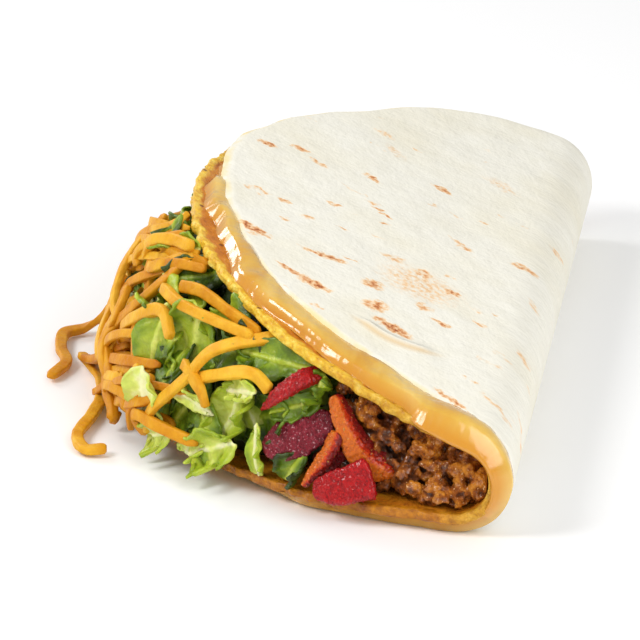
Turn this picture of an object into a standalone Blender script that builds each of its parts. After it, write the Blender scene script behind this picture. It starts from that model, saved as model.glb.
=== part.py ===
"""Taco lying on its side: a crisp corn shell, glued with cheese sauce into a folded
soft flour tortilla, and filled with beef, crisp strips, lettuce and grated cheddar.

Metres, +Z up. X runs along the fold and the near end is at +X. The taco opens to -Y,
the fold is at +Y, and the soft tortilla rests on z = 0.
"""
import math
import random

import bmesh
import bpy
from mathutils import Matrix, Vector, noise
from mathutils.bvhtree import BVHTree

# Sheets, from the shell's inner face outward
SHELL_RADIUS = 0.075
SHELL_THICKNESS = 0.0015
SHELL_SHIFT = -0.0035
CHEESE_THICKNESS = 0.0008
FLOUR_THICKNESS = 0.0012
LAYER_GAP = 0.00025
FLOUR_REACH = (0.076, 0.0685)
FLOUR_SHIFT = -0.004
FLOUR_SET_BACK = 0.06
FLOUR_EVEN = 0.997
FLOUR_SINES = ((1, -0.024), (2, -0.036), (4, -0.016), (6, -0.018))
FLOUR_COSINES = ((4, 0.016),)
RIM_ROUGHNESS = 0.0005
RIM_NOISE = 9.0
CHEESE_END_GAP = 0.0005
CHEESE_SET_BACK = 0.0028
CHEESE_FULLNESS = 0.8
CHEESE_WAVES = ((9, 0.0009, 0.0), (14, 0.0006, 1.0))

# Fold: a half-open arc at the back, then the upper flap rises towards the opening
FOLD_RADIUS = 0.0062
FOLD_Y = 0.036
WEDGE = math.radians(19.0)
FLAP_BEND = math.radians(1.0) / 0.08

# Beef: a core behind the rim, and crumbs in rows over its two end faces
CLEARANCE = 0.0005
UPPER_CLEARANCE = 0.00055
WALL_Y = -0.0205
WALL_HALF_GAP = 0.0002
BEEF_RECESS = (0.0014, 0.0042)
BEEF_HOLLOW = 0.0090
HOLLOW_START = -0.005
HOLLOW_SPAN = 0.006
BEEF_SPLIT = 0.25
BEEF_BACK_ANGLE = 1.25
BEEF_SPREAD = 0.7
BEEF_LUMPS = 0.0016
BEEF_NOISE = 230.0
CRUMB_ROWS = 8
CRUMB_COLUMNS = 4
CRUMB_RADII = (0.0016, 0.0026)
CRUMB_START = 0.003
CRUMB_PITCH = 0.0031
CRUMB_JITTER = 0.0008
CRUMB_RISE_JITTER = 0.1
CRUMB_SINK = 0.2
CRUMB_PROUD = (-0.0008, 0.001)
CRUMB_STRETCH = ((0.8, 1.1), (0.8, 1.25), (0.75, 1.0))
CRUMB_LUMPS = 0.35
CRUMB_NOISE = 700.0

# Heap of lettuce in front of the beef
HEAP_NEAR = math.radians(40.0)
HEAP_FAR = math.radians(147.0)
HEAP_BULGE = 0.0035
HEAP_INSETS = (0.955, 0.985)
HEAP_INSET_SPAN = math.radians(10.0)
HEAP_TOP_INSET = 0.975
HEAP_LEAN = 0.15
FAR_INSET = 0.0075
FAR_START = math.radians(84.0)
FAR_SPAN = math.radians(16.0)
HEAP_LUMPS = 0.0008
HEAP_NOISE = 160.0
LETTUCE_WIDTH = 0.82
LEAF_LENGTHS = (0.012, 0.018)
LEAF_ASPECTS = (0.6, 0.8)
LEAF_THICKNESS = 0.0007
LEAF_RUFFLE = 0.0019
LEAF_WAVES = (3.1, 2.3)
LEAF_WAVE_SHARE = 0.45
LEAF_FRILLS = 5.5
LEAF_FRILL_SHARE = 0.75
LEAF_CELLS = (4, 3)
LEAF_TILT = 0.9
LEADING_LEAF_ASPECT = 0.75
FRONT_LEAVES = 13
FRONT_LEAF_HEIGHTS = (0.12, 0.88)
FRONT_LEAF_LIFTS = (0.0, 0.0022)
END_LEAVES = 4
END_LEAF_DEPTHS = (0.15, 1.0)
END_LEAF_HEIGHTS = (0.2, 0.8)
END_LEAF_LIFTS = (0.0, 0.002)
END_LEAF_SIZE = 0.8
TRIES = 12

# Grated cheddar over the heap
SHRED_WIDTH = 0.0024
LEADING_SHRED_WIDTH = 0.00252
SHRED_FLATNESS = 0.8
SHRED_FACE = Vector((0, -1, 0.3))
SHRED_RAISES = (0.0, 0.0008, 0.0016, 0.0024)
SHRED_DROPS = (0.0, 0.04, 0.08)
SHRED_COUNT = 36
SHRED_TRIES = 8
SHRED_ANGLES = (54.0, 132.0)
SHRED_HEIGHTS = (0.15, 0.85)
SHRED_LEAN = 0.3
SHRED_RISES = (0.15, 0.3)
SHRED_LIFTS = (0.0035, 0.0062)
SHRED_BOW = 0.06
SHRED_ARCH = 0.0012
SHRED_STATIONS = (-1, -0.33, 0.33, 1)
SHRED_WIDTHS = (0.85, 1.15)
TIE_HEIGHTS = (0.3, 0.62)
TIE_ANGLES = [math.radians(50 + 16 * i) for i in range(6)]
TIE_LIFT = 0.0045
TIE_WAVE = 0.03

# Crisp strips, and the gaps between pieces
STRIP_STEP = 0.0005
STRIP_STEPS = 12
STRIP_ROUGHNESS = 0.0003
STRIP_NOISE = 400.0
STRIP_TAPER = 0.35
PIECE_GAP = 0.0003
TABLE_GAP = 0.0002
TAPER_SPAN = 0.25
TANGENT_STEP = 0.02

# Random draws, the same at each run
DRAW_SEED = 11
NOISE_SEED = 7

# Fineness of the faceted solids
OUTLINE_POINTS = 72
FOLD_FACETS = 12
FLAP_LINES = (0.02, 0.04)
CORE_CUTS = 5
FLAT_ANGLE = math.radians(2.0)
LINE_TOLERANCE = 0.000001
SLIVER = 0.0005

# Worked out from the sheets
TURN = math.pi - WEDGE
HALF_ARC = FOLD_RADIUS * TURN / 2
FLOOR = SHELL_THICKNESS + CHEESE_THICKNESS + FLOUR_THICKNESS + 2 * LAYER_GAP

COLOURS = {
    "flour_tortilla": ((0.86, 0.84, 0.78), 0.6),
    "cheese_sauce": ((0.80, 0.47, 0.08), 0.25),
    "corn_shell": ((0.82, 0.50, 0.09), 0.55),
    "ground_beef": ((0.26, 0.09, 0.02), 0.4),
    "lettuce": ((0.36, 0.50, 0.08), 0.45),
    "cheddar": ((0.82, 0.34, 0.03), 0.4),
    "red_strip": ((0.62, 0.03, 0.03), 0.5),
    "purple_strip": ((0.30, 0.04, 0.09), 0.6),
    "orange_strip": ((0.80, 0.16, 0.02), 0.45),
}


def clear_scene():
    for old in list(bpy.data.objects):
        bpy.data.objects.remove(old, do_unlink=True)


def collection(name):
    group = bpy.data.collections.new(name)
    bpy.context.scene.collection.children.link(group)
    return group


def material(key):
    found = bpy.data.materials.get(key)
    if found:
        return found
    colour, roughness = COLOURS[key]
    made = bpy.data.materials.new(key)
    made.use_nodes = True
    shader = made.node_tree.nodes["Principled BSDF"]
    shader.inputs["Base Color"].default_value = (*colour, 1.0)
    shader.inputs["Roughness"].default_value = roughness
    shader.inputs["Metallic"].default_value = 0.0
    return made


def add_object(name, bm, key, group):
    mesh = bpy.data.meshes.new(name)
    bm.to_mesh(mesh)
    bm.free()
    mesh.materials.append(material(key))
    added = bpy.data.objects.new(name, mesh)
    group.objects.link(added)
    return added


def evaluated_mesh(source):
    bpy.context.view_layer.update()
    graph = bpy.context.evaluated_depsgraph_get()
    return bpy.data.meshes.new_from_object(source.evaluated_get(graph), depsgraph=graph)


def tree_of(source):
    bm = bmesh.new()
    bm.from_mesh(evaluated_mesh(source))
    bmesh.ops.triangulate(bm, faces=bm.faces)
    tree = BVHTree.FromBMesh(bm)
    bm.free()
    return tree


# The folded section
def fold_section(v, out):
    """(y, z) at arc length v from the fold's middle, `out` outside the shell's inner face."""
    turned = min(max((v + HALF_ARC) / FOLD_RADIUS, 0.0), TURN)
    under = max(-HALF_ARC - v, 0.0)
    over = max(v - HALF_ARC, 0.0)
    heading = turned + FLAP_BEND * over
    y = FOLD_RADIUS * math.sin(turned) - under
    z = FLOOR + FOLD_RADIUS * (1 - math.cos(turned))
    if over > 0:
        y += (math.sin(heading) - math.sin(turned)) / FLAP_BEND
        z -= (math.cos(heading) - math.cos(turned)) / FLAP_BEND
    return y + out * math.sin(heading), z - out * math.cos(heading)


def bend(u, v, out):
    y, z = fold_section(v, out)
    return Vector((u, FOLD_Y + y, z))


def flap_v(y):
    """Arc length at which the upper flap's inner face passes over y, measured from the fold's axis."""
    return HALF_ARC + max(FOLD_RADIUS * math.sin(TURN) - y, 0.0) / math.cos(WEDGE)


def ceiling(y):
    if y > FOLD_RADIUS * math.sin(TURN):
        return FLOOR + FOLD_RADIUS + math.sqrt(max(FOLD_RADIUS ** 2 - y * y, 0.0))
    return fold_section(flap_v(y), 0.0)[1]


def ground(y):
    if y <= 0:
        return FLOOR
    return FLOOR + FOLD_RADIUS - math.sqrt(max(FOLD_RADIUS ** 2 - y * y, 0.0))


def rim_x(y, height):
    """Half width of the shell at y, between its lower rim (height 0) and upper rim (height 1)."""
    low = min(y, 0.0) - HALF_ARC - SHELL_SHIFT
    high = flap_v(y) - SHELL_SHIFT
    low_x = math.sqrt(max(SHELL_RADIUS ** 2 - low ** 2, 0.0))
    high_x = math.sqrt(max(SHELL_RADIUS ** 2 - high ** 2, 0.0))
    return low_x + (high_x - low_x) * height


# Sheets: a flat outline, folded
def shell_outline(angle):
    around = Vector((math.cos(angle), math.sin(angle), 0.0))
    rough = RIM_ROUGHNESS * noise.noise(around * RIM_NOISE + Vector((0, 0, 2)))
    radius = SHELL_RADIUS + rough
    return radius * math.cos(angle), radius * math.sin(angle) + SHELL_SHIFT


def cheese_outline(angle):
    """Nearly flush at the two ends of the fold, set back in waves along the flaps."""
    along_flap = abs(math.sin(angle)) ** CHEESE_FULLNESS
    waves = sum(depth * math.sin(count * angle + phase) for count, depth, phase in CHEESE_WAVES)
    radius = SHELL_RADIUS - CHEESE_END_GAP - along_flap * (CHEESE_SET_BACK - waves)
    return radius * math.cos(angle), radius * math.sin(angle) + SHELL_SHIFT


def flour_outline(angle):
    """An uneven oval: it droops at the front of the near end and reaches out at the far end."""
    uneven = FLOUR_EVEN
    uneven += sum(share * math.sin(count * angle) for count, share in FLOUR_SINES)
    uneven += sum(share * math.cos(count * angle) for count, share in FLOUR_COSINES)
    uneven -= FLOUR_SET_BACK * min(max(-6 * math.sin(angle), 0.0), 1.0)
    return (FLOUR_SHIFT + FLOUR_REACH[0] * uneven * math.cos(angle),
            FLOUR_REACH[1] * uneven * math.sin(angle))


def fold_lines():
    """Arc lengths at which a sheet is creased so that it follows the fold and the flap's slight bend."""
    arc = [-HALF_ARC + 2 * HALF_ARC * i / FOLD_FACETS for i in range(FOLD_FACETS + 1)]
    flap = [HALF_ARC + step for step in FLAP_LINES]
    return arc + flap


def tidy_outline(bm):
    """Drops outline points in the fold or beside a line's end, so that facets between lines are flat."""
    bmesh.ops.remove_doubles(bm, verts=bm.verts, dist=LINE_TOLERANCE)
    ends = [vert for vert in bm.verts if min(abs(vert.co.y - v) for v in fold_lines()) < LINE_TOLERANCE]
    between = [vert for vert in bm.verts if vert not in ends and abs(vert.co.y) < HALF_ARC]
    bmesh.ops.dissolve_verts(bm, verts=between)
    close = bmesh.ops.find_doubles(bm, verts=bm.verts, keep_verts=ends, dist=SLIVER)["targetmap"]
    bmesh.ops.weld_verts(bm, targetmap=close)


def folded_sheet(name, outline, out, thickness, key, group):
    bm = bmesh.new()
    steps = [2 * math.pi * i / OUTLINE_POINTS for i in range(OUTLINE_POINTS)]
    bm.faces.new([bm.verts.new((*outline(angle), 0.0)) for angle in steps])
    for v in fold_lines():
        bmesh.ops.bisect_plane(bm, geom=bm.verts[:] + bm.edges[:] + bm.faces[:],
                               plane_co=(0, v, 0), plane_no=(0, 1, 0))
    tidy_outline(bm)
    bmesh.ops.triangulate(bm, faces=bm.faces)
    for vert in bm.verts:
        vert.co = bend(vert.co.x, vert.co.y, out)
    sheet = add_object(name, bm, key, group)
    thicken = sheet.modifiers.new("thickness", "SOLIDIFY")
    thicken.thickness = thickness
    thicken.offset = -1.0
    thicken.use_even_offset = True
    return sheet


# Swept pieces and leaves
def smooth_path(points, t):
    """Catmull-Rom curve through the points, t from 0 to 1."""
    count = len(points) - 1
    place = min(max(t, 0.0), 1.0) * count
    i = min(int(place), count - 1)
    s = place - i
    p1, p2 = points[i], points[i + 1]
    p0 = points[i - 1] if i > 0 else p1 * 2 - p2
    p3 = points[i + 2] if i + 2 <= count else p2 * 2 - p1
    return 0.5 * (2 * p1 + (p2 - p0) * s + (2 * p0 - 5 * p1 + 4 * p2 - p3) * s * s
                  + (3 * p1 - p0 - 3 * p2 + p3) * s ** 3)


def swept_piece(points, width, thickness, face, sides=4, rings=6, taper=0.25, rough=0.0):
    """A bar along the path. `face` is the way its broad side looks, and its ends narrow by `taper`."""
    bm = bmesh.new()
    bmesh.ops.create_cone(bm, cap_ends=True, cap_tris=False, segments=sides, radius1=1, radius2=1, depth=1)
    turn = math.pi / sides
    bmesh.ops.rotate(bm, verts=bm.verts, cent=(0, 0, 0), matrix=Matrix.Rotation(turn, 3, "Z"))
    for i in range(1, rings):
        bmesh.ops.bisect_plane(bm, geom=bm.verts[:] + bm.edges[:] + bm.faces[:],
                               plane_co=(0, 0, i / rings - 0.5), plane_no=(0, 0, 1))
    corner = 1 / math.cos(turn)
    for vert in bm.verts:
        t = vert.co.z + 0.5
        centre = smooth_path(points, t)
        tangent = smooth_path(points, t + TANGENT_STEP) - smooth_path(points, t - TANGENT_STEP)
        tangent.normalize()
        side = tangent.cross(face).normalized()
        up = side.cross(tangent).normalized()
        end = max(0.0, abs(2 * t - 1) - 1 + TAPER_SPAN) / TAPER_SPAN
        grow = (1 - taper * end) * corner
        offset = side * (vert.co.x * width / 2 * grow) + up * (vert.co.y * thickness / 2 * grow)
        if rough:
            jitter = noise.noise_vector((centre + offset) * STRIP_NOISE)
            offset += jitter * rough
        vert.co = centre + offset
    bmesh.ops.triangulate(bm, faces=bm.faces)
    bmesh.ops.recalc_face_normals(bm, faces=bm.faces)
    return bm


def leaf_piece(place, length, width, phase):
    """A thin wavy leaf: a grid rounded to an outline, ruffled towards its edges, then thickened."""
    bm = bmesh.new()
    bmesh.ops.create_grid(bm, x_segments=LEAF_CELLS[0], y_segments=LEAF_CELLS[1], size=1)
    bmesh.ops.triangulate(bm, faces=bm.faces)
    for vert in bm.verts:
        p, q = vert.co.x, vert.co.y
        x = p * math.sqrt(1 - q * q / 2) * length / 2
        y = q * math.sqrt(1 - p * p / 2) * width / 2
        edge = max(abs(p), abs(q)) ** 2
        wave = math.sin(LEAF_WAVES[0] * p + phase) * math.cos(LEAF_WAVES[1] * q + 2 * phase)
        frill = edge * math.sin(LEAF_FRILLS * math.atan2(q, p) + phase)
        vert.co = Vector((x, y, LEAF_RUFFLE * (LEAF_WAVE_SHARE * wave + LEAF_FRILL_SHARE * frill)))
    bmesh.ops.recalc_face_normals(bm, faces=bm.faces)
    scratch = bpy.data.meshes.new("leaf")
    bm.to_mesh(scratch)
    bm.free()
    leaf = bpy.data.objects.new("leaf", scratch)
    bpy.context.scene.collection.objects.link(leaf)
    thicken = leaf.modifiers.new("thickness", "SOLIDIFY")
    thicken.thickness = LEAF_THICKNESS
    thicken.offset = 0.0
    solid = bmesh.new()
    solid.from_mesh(evaluated_mesh(leaf))
    bpy.data.objects.remove(leaf, do_unlink=True)
    bmesh.ops.transform(solid, matrix=place, verts=solid.verts)
    bmesh.ops.triangulate(solid, faces=solid.faces)
    bmesh.ops.recalc_face_normals(solid, faces=solid.faces)
    return solid


def is_clear(bm, obstacles, gap=PIECE_GAP):
    """True where the piece crosses no obstacle and keeps the gap to each."""
    tree = BVHTree.FromBMesh(bm)
    for other in obstacles:
        if tree.overlap(other):
            return False
        for vert in bm.verts:
            near = other.find_nearest(vert.co, gap)
            if near[0] is not None:
                return False
    return min(vert.co.z for vert in bm.verts) > TABLE_GAP


def keep_largest_body(bm):
    """Drops loose scraps and fills sealed hollows: both are skins apart from the largest one."""
    seen = set()
    skins = []
    for start in bm.faces:
        if start in seen:
            continue
        stack, skin = [start], []
        seen.add(start)
        while stack:
            face = stack.pop()
            skin.append(face)
            for edge in face.edges:
                for other in edge.link_faces:
                    if other not in seen:
                        seen.add(other)
                        stack.append(other)
        skins.append(skin)
    skins.sort(key=len)
    for skin in skins[:-1]:
        bmesh.ops.delete(bm, geom=skin, context="FACES")


def fuse(name, core, pieces, key, group, cutters, solver="EXACT"):
    """One object: the core and its pieces joined by a Boolean union, which is applied."""
    base = add_object(name, core, key, group)
    loose = bpy.data.collections.new(name + "_pieces")
    cutters.children.link(loose)
    for i, piece in enumerate(pieces):
        part = add_object(f"{name}_piece_{i}", piece, key, loose)
        part.hide_render = True
        part.display_type = "WIRE"
    union = base.modifiers.new("union", "BOOLEAN")
    union.operation = "UNION"
    union.operand_type = "COLLECTION"
    union.collection = loose
    union.solver = solver
    joined = bmesh.new()
    joined.from_mesh(evaluated_mesh(base))
    base.modifiers.remove(union)
    for part in list(loose.objects):
        bpy.data.objects.remove(part, do_unlink=True)
    bpy.data.collections.remove(loose)
    keep_largest_body(joined)
    bmesh.ops.dissolve_limit(joined, angle_limit=FLAT_ANGLE, verts=joined.verts, edges=joined.edges)
    bmesh.ops.triangulate(joined, faces=joined.faces)
    joined.to_mesh(base.data)
    joined.free()
    return base


# Filling
def cube_cage(cuts):
    bm = bmesh.new()
    bmesh.ops.create_cube(bm, size=2)
    bmesh.ops.subdivide_edges(bm, edges=bm.edges, cuts=cuts, use_grid_fill=True)
    return bm


def beef_recess(y, height):
    """How far the beef stays behind the rim: more at the top, and most beside the strips, in a hollow."""
    hollow = min(max((HOLLOW_START - y) / HOLLOW_SPAN, 0.0), 1.0)
    low, high = BEEF_RECESS
    return low + (high - low) * height + BEEF_HOLLOW * hollow


def beef_core():
    bm = cube_cage(CORE_CUTS)
    back = FOLD_RADIUS - CLEARANCE
    for vert in bm.verts:
        a, b, c = vert.co
        front = WALL_Y + WALL_HALF_GAP
        if c < BEEF_SPLIT:
            y = front * (BEEF_SPLIT - c) / (1 + BEEF_SPLIT)
        else:
            y = back * math.sin((c - BEEF_SPLIT) / (1 - BEEF_SPLIT) * BEEF_BACK_ANGLE)
        height = (b + 1) / 2
        low = ground(y) + CLEARANCE
        high = ceiling(y) - UPPER_CLEARANCE
        z = low + (high - low) * height
        end = rim_x(y, height) - beef_recess(y, height)
        end += BEEF_LUMPS * noise.noise(Vector((y * BEEF_NOISE, z * BEEF_NOISE, 3 * a)))
        spread = math.copysign(abs(a) ** BEEF_SPREAD, a)
        vert.co = Vector((end * spread, FOLD_Y + y, z))
    bmesh.ops.recalc_face_normals(bm, faces=bm.faces)
    bmesh.ops.triangulate(bm, faces=bm.faces)
    return bm


def beef_crumbs(draw, obstacles):
    """Crumbs of browned mince over both end faces, packed in rows with uneven sizes."""
    crumbs = []
    for end in (1, -1):
        for row in range(CRUMB_ROWS):
            for column in range(CRUMB_COLUMNS):
                y = WALL_Y + CRUMB_START + row * CRUMB_PITCH + draw.uniform(-CRUMB_JITTER, CRUMB_JITTER)
                height = (column + 0.5) / CRUMB_COLUMNS
                height += draw.uniform(-CRUMB_RISE_JITTER, CRUMB_RISE_JITTER)
                radius = draw.uniform(*CRUMB_RADII)
                low = ground(y) + CLEARANCE + radius
                high = ceiling(y) - CLEARANCE - radius
                if high < low:
                    continue
                z = low + (high - low) * min(max(height, 0.0), 1.0)
                reach = rim_x(y, height) - beef_recess(y, height) - CRUMB_SINK * radius
                x = end * (reach + draw.uniform(*CRUMB_PROUD))
                bm = bmesh.new()
                bmesh.ops.create_icosphere(bm, subdivisions=1, radius=radius)
                stretch = [draw.uniform(*span) for span in CRUMB_STRETCH]
                own = Vector((row, column, end)) * 7
                for vert in bm.verts:
                    lump = 1 + CRUMB_LUMPS * noise.noise(vert.co * CRUMB_NOISE + own)
                    vert.co = Vector(vert.co[i] * stretch[i] for i in range(3)) * lump
                turn = Matrix.Rotation(draw.uniform(0, 3), 4, (draw.random(), draw.random(), 0.5))
                place = Matrix.Translation((x, FOLD_Y + y, z)) @ turn
                bmesh.ops.transform(bm, matrix=place, verts=bm.verts)
                bmesh.ops.recalc_face_normals(bm, faces=bm.faces)
                if is_clear(bm, obstacles):
                    crumbs.append(bm)
                else:
                    bm.free()
    return crumbs


def heap_radius(angle):
    """The filling's reach on the flat shell. Past the middle, at its far half, it stays behind the rims."""
    inside = min(angle - HEAP_NEAR, HEAP_FAR - angle) / HEAP_INSET_SPAN
    low_inset, high_inset = HEAP_INSETS
    far = min(max((angle - FAR_START) / FAR_SPAN, 0.0), 1.0)
    reach = SHELL_RADIUS * (low_inset + (high_inset - low_inset) * min(max(inside, 0.0), 1.0))
    return reach - FAR_INSET * far * far * (3 - 2 * far)


def heap_point(angle, height, lift):
    """On the filling's front. Angle 0 is the near end, 90 degrees the middle; height runs rim to rim."""
    radius = heap_radius(angle)
    u = radius * math.cos(angle)
    v = radius * math.sin(angle)
    low = bend(u, -v + SHELL_SHIFT, 0.0)
    high = bend(u * HEAP_TOP_INSET, v * HEAP_TOP_INSET + SHELL_SHIFT, 0.0)
    low.z += CLEARANCE
    high.z -= CLEARANCE
    belly = math.sqrt(max(4 * height * (1 - height), 0.0))
    reach = HEAP_BULGE * math.sin(angle) * belly + lift
    return low.lerp(high, height) + heap_away(angle) * reach


def heap_away(angle):
    return Vector((math.cos(angle), -math.sin(angle), HEAP_LEAN)).normalized()


def lettuce_core():
    bm = cube_cage(CORE_CUTS)
    for vert in bm.verts:
        a, b, c = vert.co
        height = (b + 1) / 2
        angle = HEAP_FAR + (HEAP_NEAR - HEAP_FAR) * (a + 1) / 2
        front = heap_point(angle, height, 0.0)
        y = WALL_Y - WALL_HALF_GAP
        low = FLOOR + CLEARANCE
        high = ceiling(y) - UPPER_CLEARANCE
        side_x = rim_x(y, 0.5) * LETTUCE_WIDTH
        wall = Vector((side_x * math.sin(a * math.pi / 2), FOLD_Y + y, low + (high - low) * height))
        vert.co = wall.lerp(front, (c + 1) / 2)
        if abs(a) == 1 or c == 1:
            vert.co += noise.noise_vector(vert.co * HEAP_NOISE) * HEAP_LUMPS * (1 - abs(b))
    bmesh.ops.recalc_face_normals(bm, faces=bm.faces)
    bmesh.ops.triangulate(bm, faces=bm.faces)
    return bm


def end_point(side, depth, height, lift):
    """On the lettuce's end face, side 1 near and -1 far; depth 0 is the beef's wall and 1 the front."""
    y = WALL_Y - WALL_HALF_GAP
    low = FLOOR + CLEARANCE
    high = ceiling(y) - CLEARANCE
    wall = Vector((side * rim_x(y, 0.5) * LETTUCE_WIDTH, FOLD_Y + y, low + (high - low) * height))
    front = heap_point(HEAP_NEAR if side > 0 else HEAP_FAR, height, 0.0)
    return wall.lerp(front, depth) + Vector((side * lift, 0, 0))


def leaf_at(draw, centre, facing, length):
    """A leaf about `length` long, turned at random about the way it faces."""
    tilt = Matrix.Rotation(draw.uniform(-LEAF_TILT, LEAF_TILT), 3, facing.orthogonal())
    normal = tilt @ facing
    first = Matrix.Rotation(draw.uniform(0, math.pi), 3, normal) @ normal.orthogonal().normalized()
    place = Matrix((first, normal.cross(first), normal)).transposed().to_4x4()
    place.translation = centre
    return leaf_piece(place, length, length * draw.uniform(*LEAF_ASPECTS), draw.uniform(0, 6))


# Leaves that stand out: (degrees, height, lift) on the front, length, then tilt and spin in degrees
LEADING_LEAVES = (
    (58, 0.60, 0.0012, 0.0170, 12, 20),
    (59, 0.18, 0.0010, 0.0130, -18, 70),
    (46, 0.34, 0.0012, 0.0150, 15, 10),
    (49, 0.10, 0.0016, 0.0140, -35, 60),
    (86, 0.74, 0.0010, 0.0130, 20, 40),
    (70, 0.84, 0.0010, 0.0120, 25, 0),
    (52, 0.82, 0.0008, 0.0130, 22, 30),
    (44, 0.68, 0.0008, 0.0130, 24, 80),
)


def lettuce_leaves(draw, obstacles):
    """Torn leaves that stand out of the front and of the two end faces."""
    leaves = []

    def fill(count, make):
        """Adds `count` leaves, each drawn again until it is clear."""
        wanted = len(leaves) + count
        for _ in range(TRIES * count):
            leaf = make()
            if is_clear(leaf, obstacles):
                leaves.append(leaf)
            else:
                leaf.free()
            if len(leaves) == wanted:
                break

    def front_leaf():
        angle = draw.uniform(HEAP_NEAR, HEAP_FAR)
        centre = heap_point(angle, draw.uniform(*FRONT_LEAF_HEIGHTS), draw.uniform(*FRONT_LEAF_LIFTS))
        return leaf_at(draw, centre, heap_away(angle), draw.uniform(*LEAF_LENGTHS))

    def end_leaf(side):
        depth = draw.uniform(*END_LEAF_DEPTHS)
        centre = end_point(side, depth, draw.uniform(*END_LEAF_HEIGHTS), draw.uniform(*END_LEAF_LIFTS))
        facing = Vector((side, -0.3, 0.1)).normalized()
        return leaf_at(draw, centre, facing, draw.uniform(*LEAF_LENGTHS) * END_LEAF_SIZE)

    for angle, height, lift, length, tilt, spin in LEADING_LEAVES:
        angle = math.radians(angle)
        for raised in SHRED_RAISES:
            facing = heap_away(angle)
            along = Vector((-math.sin(angle), -math.cos(angle), 0))
            normal = Matrix.Rotation(math.radians(tilt), 3, along) @ facing
            first = Matrix.Rotation(math.radians(spin), 3, normal) @ along
            place = Matrix((first, normal.cross(first), normal)).transposed().to_4x4()
            place.translation = heap_point(angle, height, lift + raised)
            leaf = leaf_piece(place, length, length * LEADING_LEAF_ASPECT, 0.1 * spin)
            if is_clear(leaf, obstacles):
                leaves.append(leaf)
                break
            leaf.free()
    fill(FRONT_LEAVES, front_leaf)
    fill(END_LEAVES, lambda: end_leaf(1))
    fill(END_LEAVES, lambda: end_leaf(-1))
    return leaves


# Cheddar: (degrees, height, lift) on the filling's front for the shreds that stand out
LEADING_SHREDS = (
    ((64, 0.80, 0.0060), (57, 0.86, 0.0062), (50, 0.91, 0.0056), (44, 0.92, 0.0045)),
    ((66, 0.88, 0.0045), (58, 0.95, 0.0045), (50, 0.92, 0.0040), (45, 0.86, 0.0035)),
    ((51, 0.45, 0.0055), (49, 0.65, 0.0062), (46, 0.81, 0.0060), (43, 0.90, 0.0045)),
    ((71, 0.25, 0.0050), (64, 0.54, 0.0062), (59, 0.70, 0.0066), (54, 0.60, 0.0060)),
    ((52, 0.45, 0.0060), (47, 0.57, 0.0065), (42, 0.66, 0.0055), (39, 0.58, 0.0050)),
    ((76, 0.85, 0.0050), (72, 0.66, 0.0062), (72, 0.45, 0.0066), (76, 0.25, 0.0055)),
    ((90, 0.82, 0.0048), (80, 0.70, 0.0060), (76, 0.48, 0.0066), (80, 0.20, 0.0060)),
    ((62, 0.34, 0.0055), (61, 0.18, 0.0062), (59, 0.04, 0.0058), (57, -0.10, 0.0060)),
    ((66, 0.12, 0.0050), (62, 0.30, 0.0060), (56, 0.38, 0.0060), (51, 0.30, 0.0050)),
    ((98, 0.84, 0.0045), (92, 0.60, 0.0056), (86, 0.42, 0.0062), (82, 0.22, 0.0058)),
)

# Shreds that hang over the lower rim and lie on the table, as (x, y from the fold's axis, z)
FALLEN_SHREDS = (
    ((-0.0030, -0.0703, 0.0175), (-0.0060, -0.0735, 0.0110), (-0.0090, -0.0772, 0.0050),
     (-0.0100, -0.0815, 0.0016), (-0.0070, -0.0850, 0.0014), (0.0005, -0.0842, 0.0014),
     (0.0075, -0.0818, 0.0014), (0.0150, -0.0835, 0.0014)),
    ((0.0320, -0.0650, 0.0155), (0.0220, -0.0710, 0.0095), (0.0130, -0.0752, 0.0045),
     (0.0055, -0.0787, 0.0017)),
    ((0.0030, -0.0798, 0.0014), (0.0085, -0.0767, 0.0014), (0.0150, -0.0737, 0.0014),
     (0.0245, -0.0720, 0.0014), (0.0330, -0.0722, 0.0014), (0.0420, -0.0730, 0.0014),
     (0.0482, -0.0705, 0.0014), (0.0478, -0.0665, 0.0014)),
    ((0.0390, -0.0612, 0.0140), (0.0320, -0.0670, 0.0090), (0.0260, -0.0707, 0.0045),
     (0.0225, -0.0732, 0.0018)),
)


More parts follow.
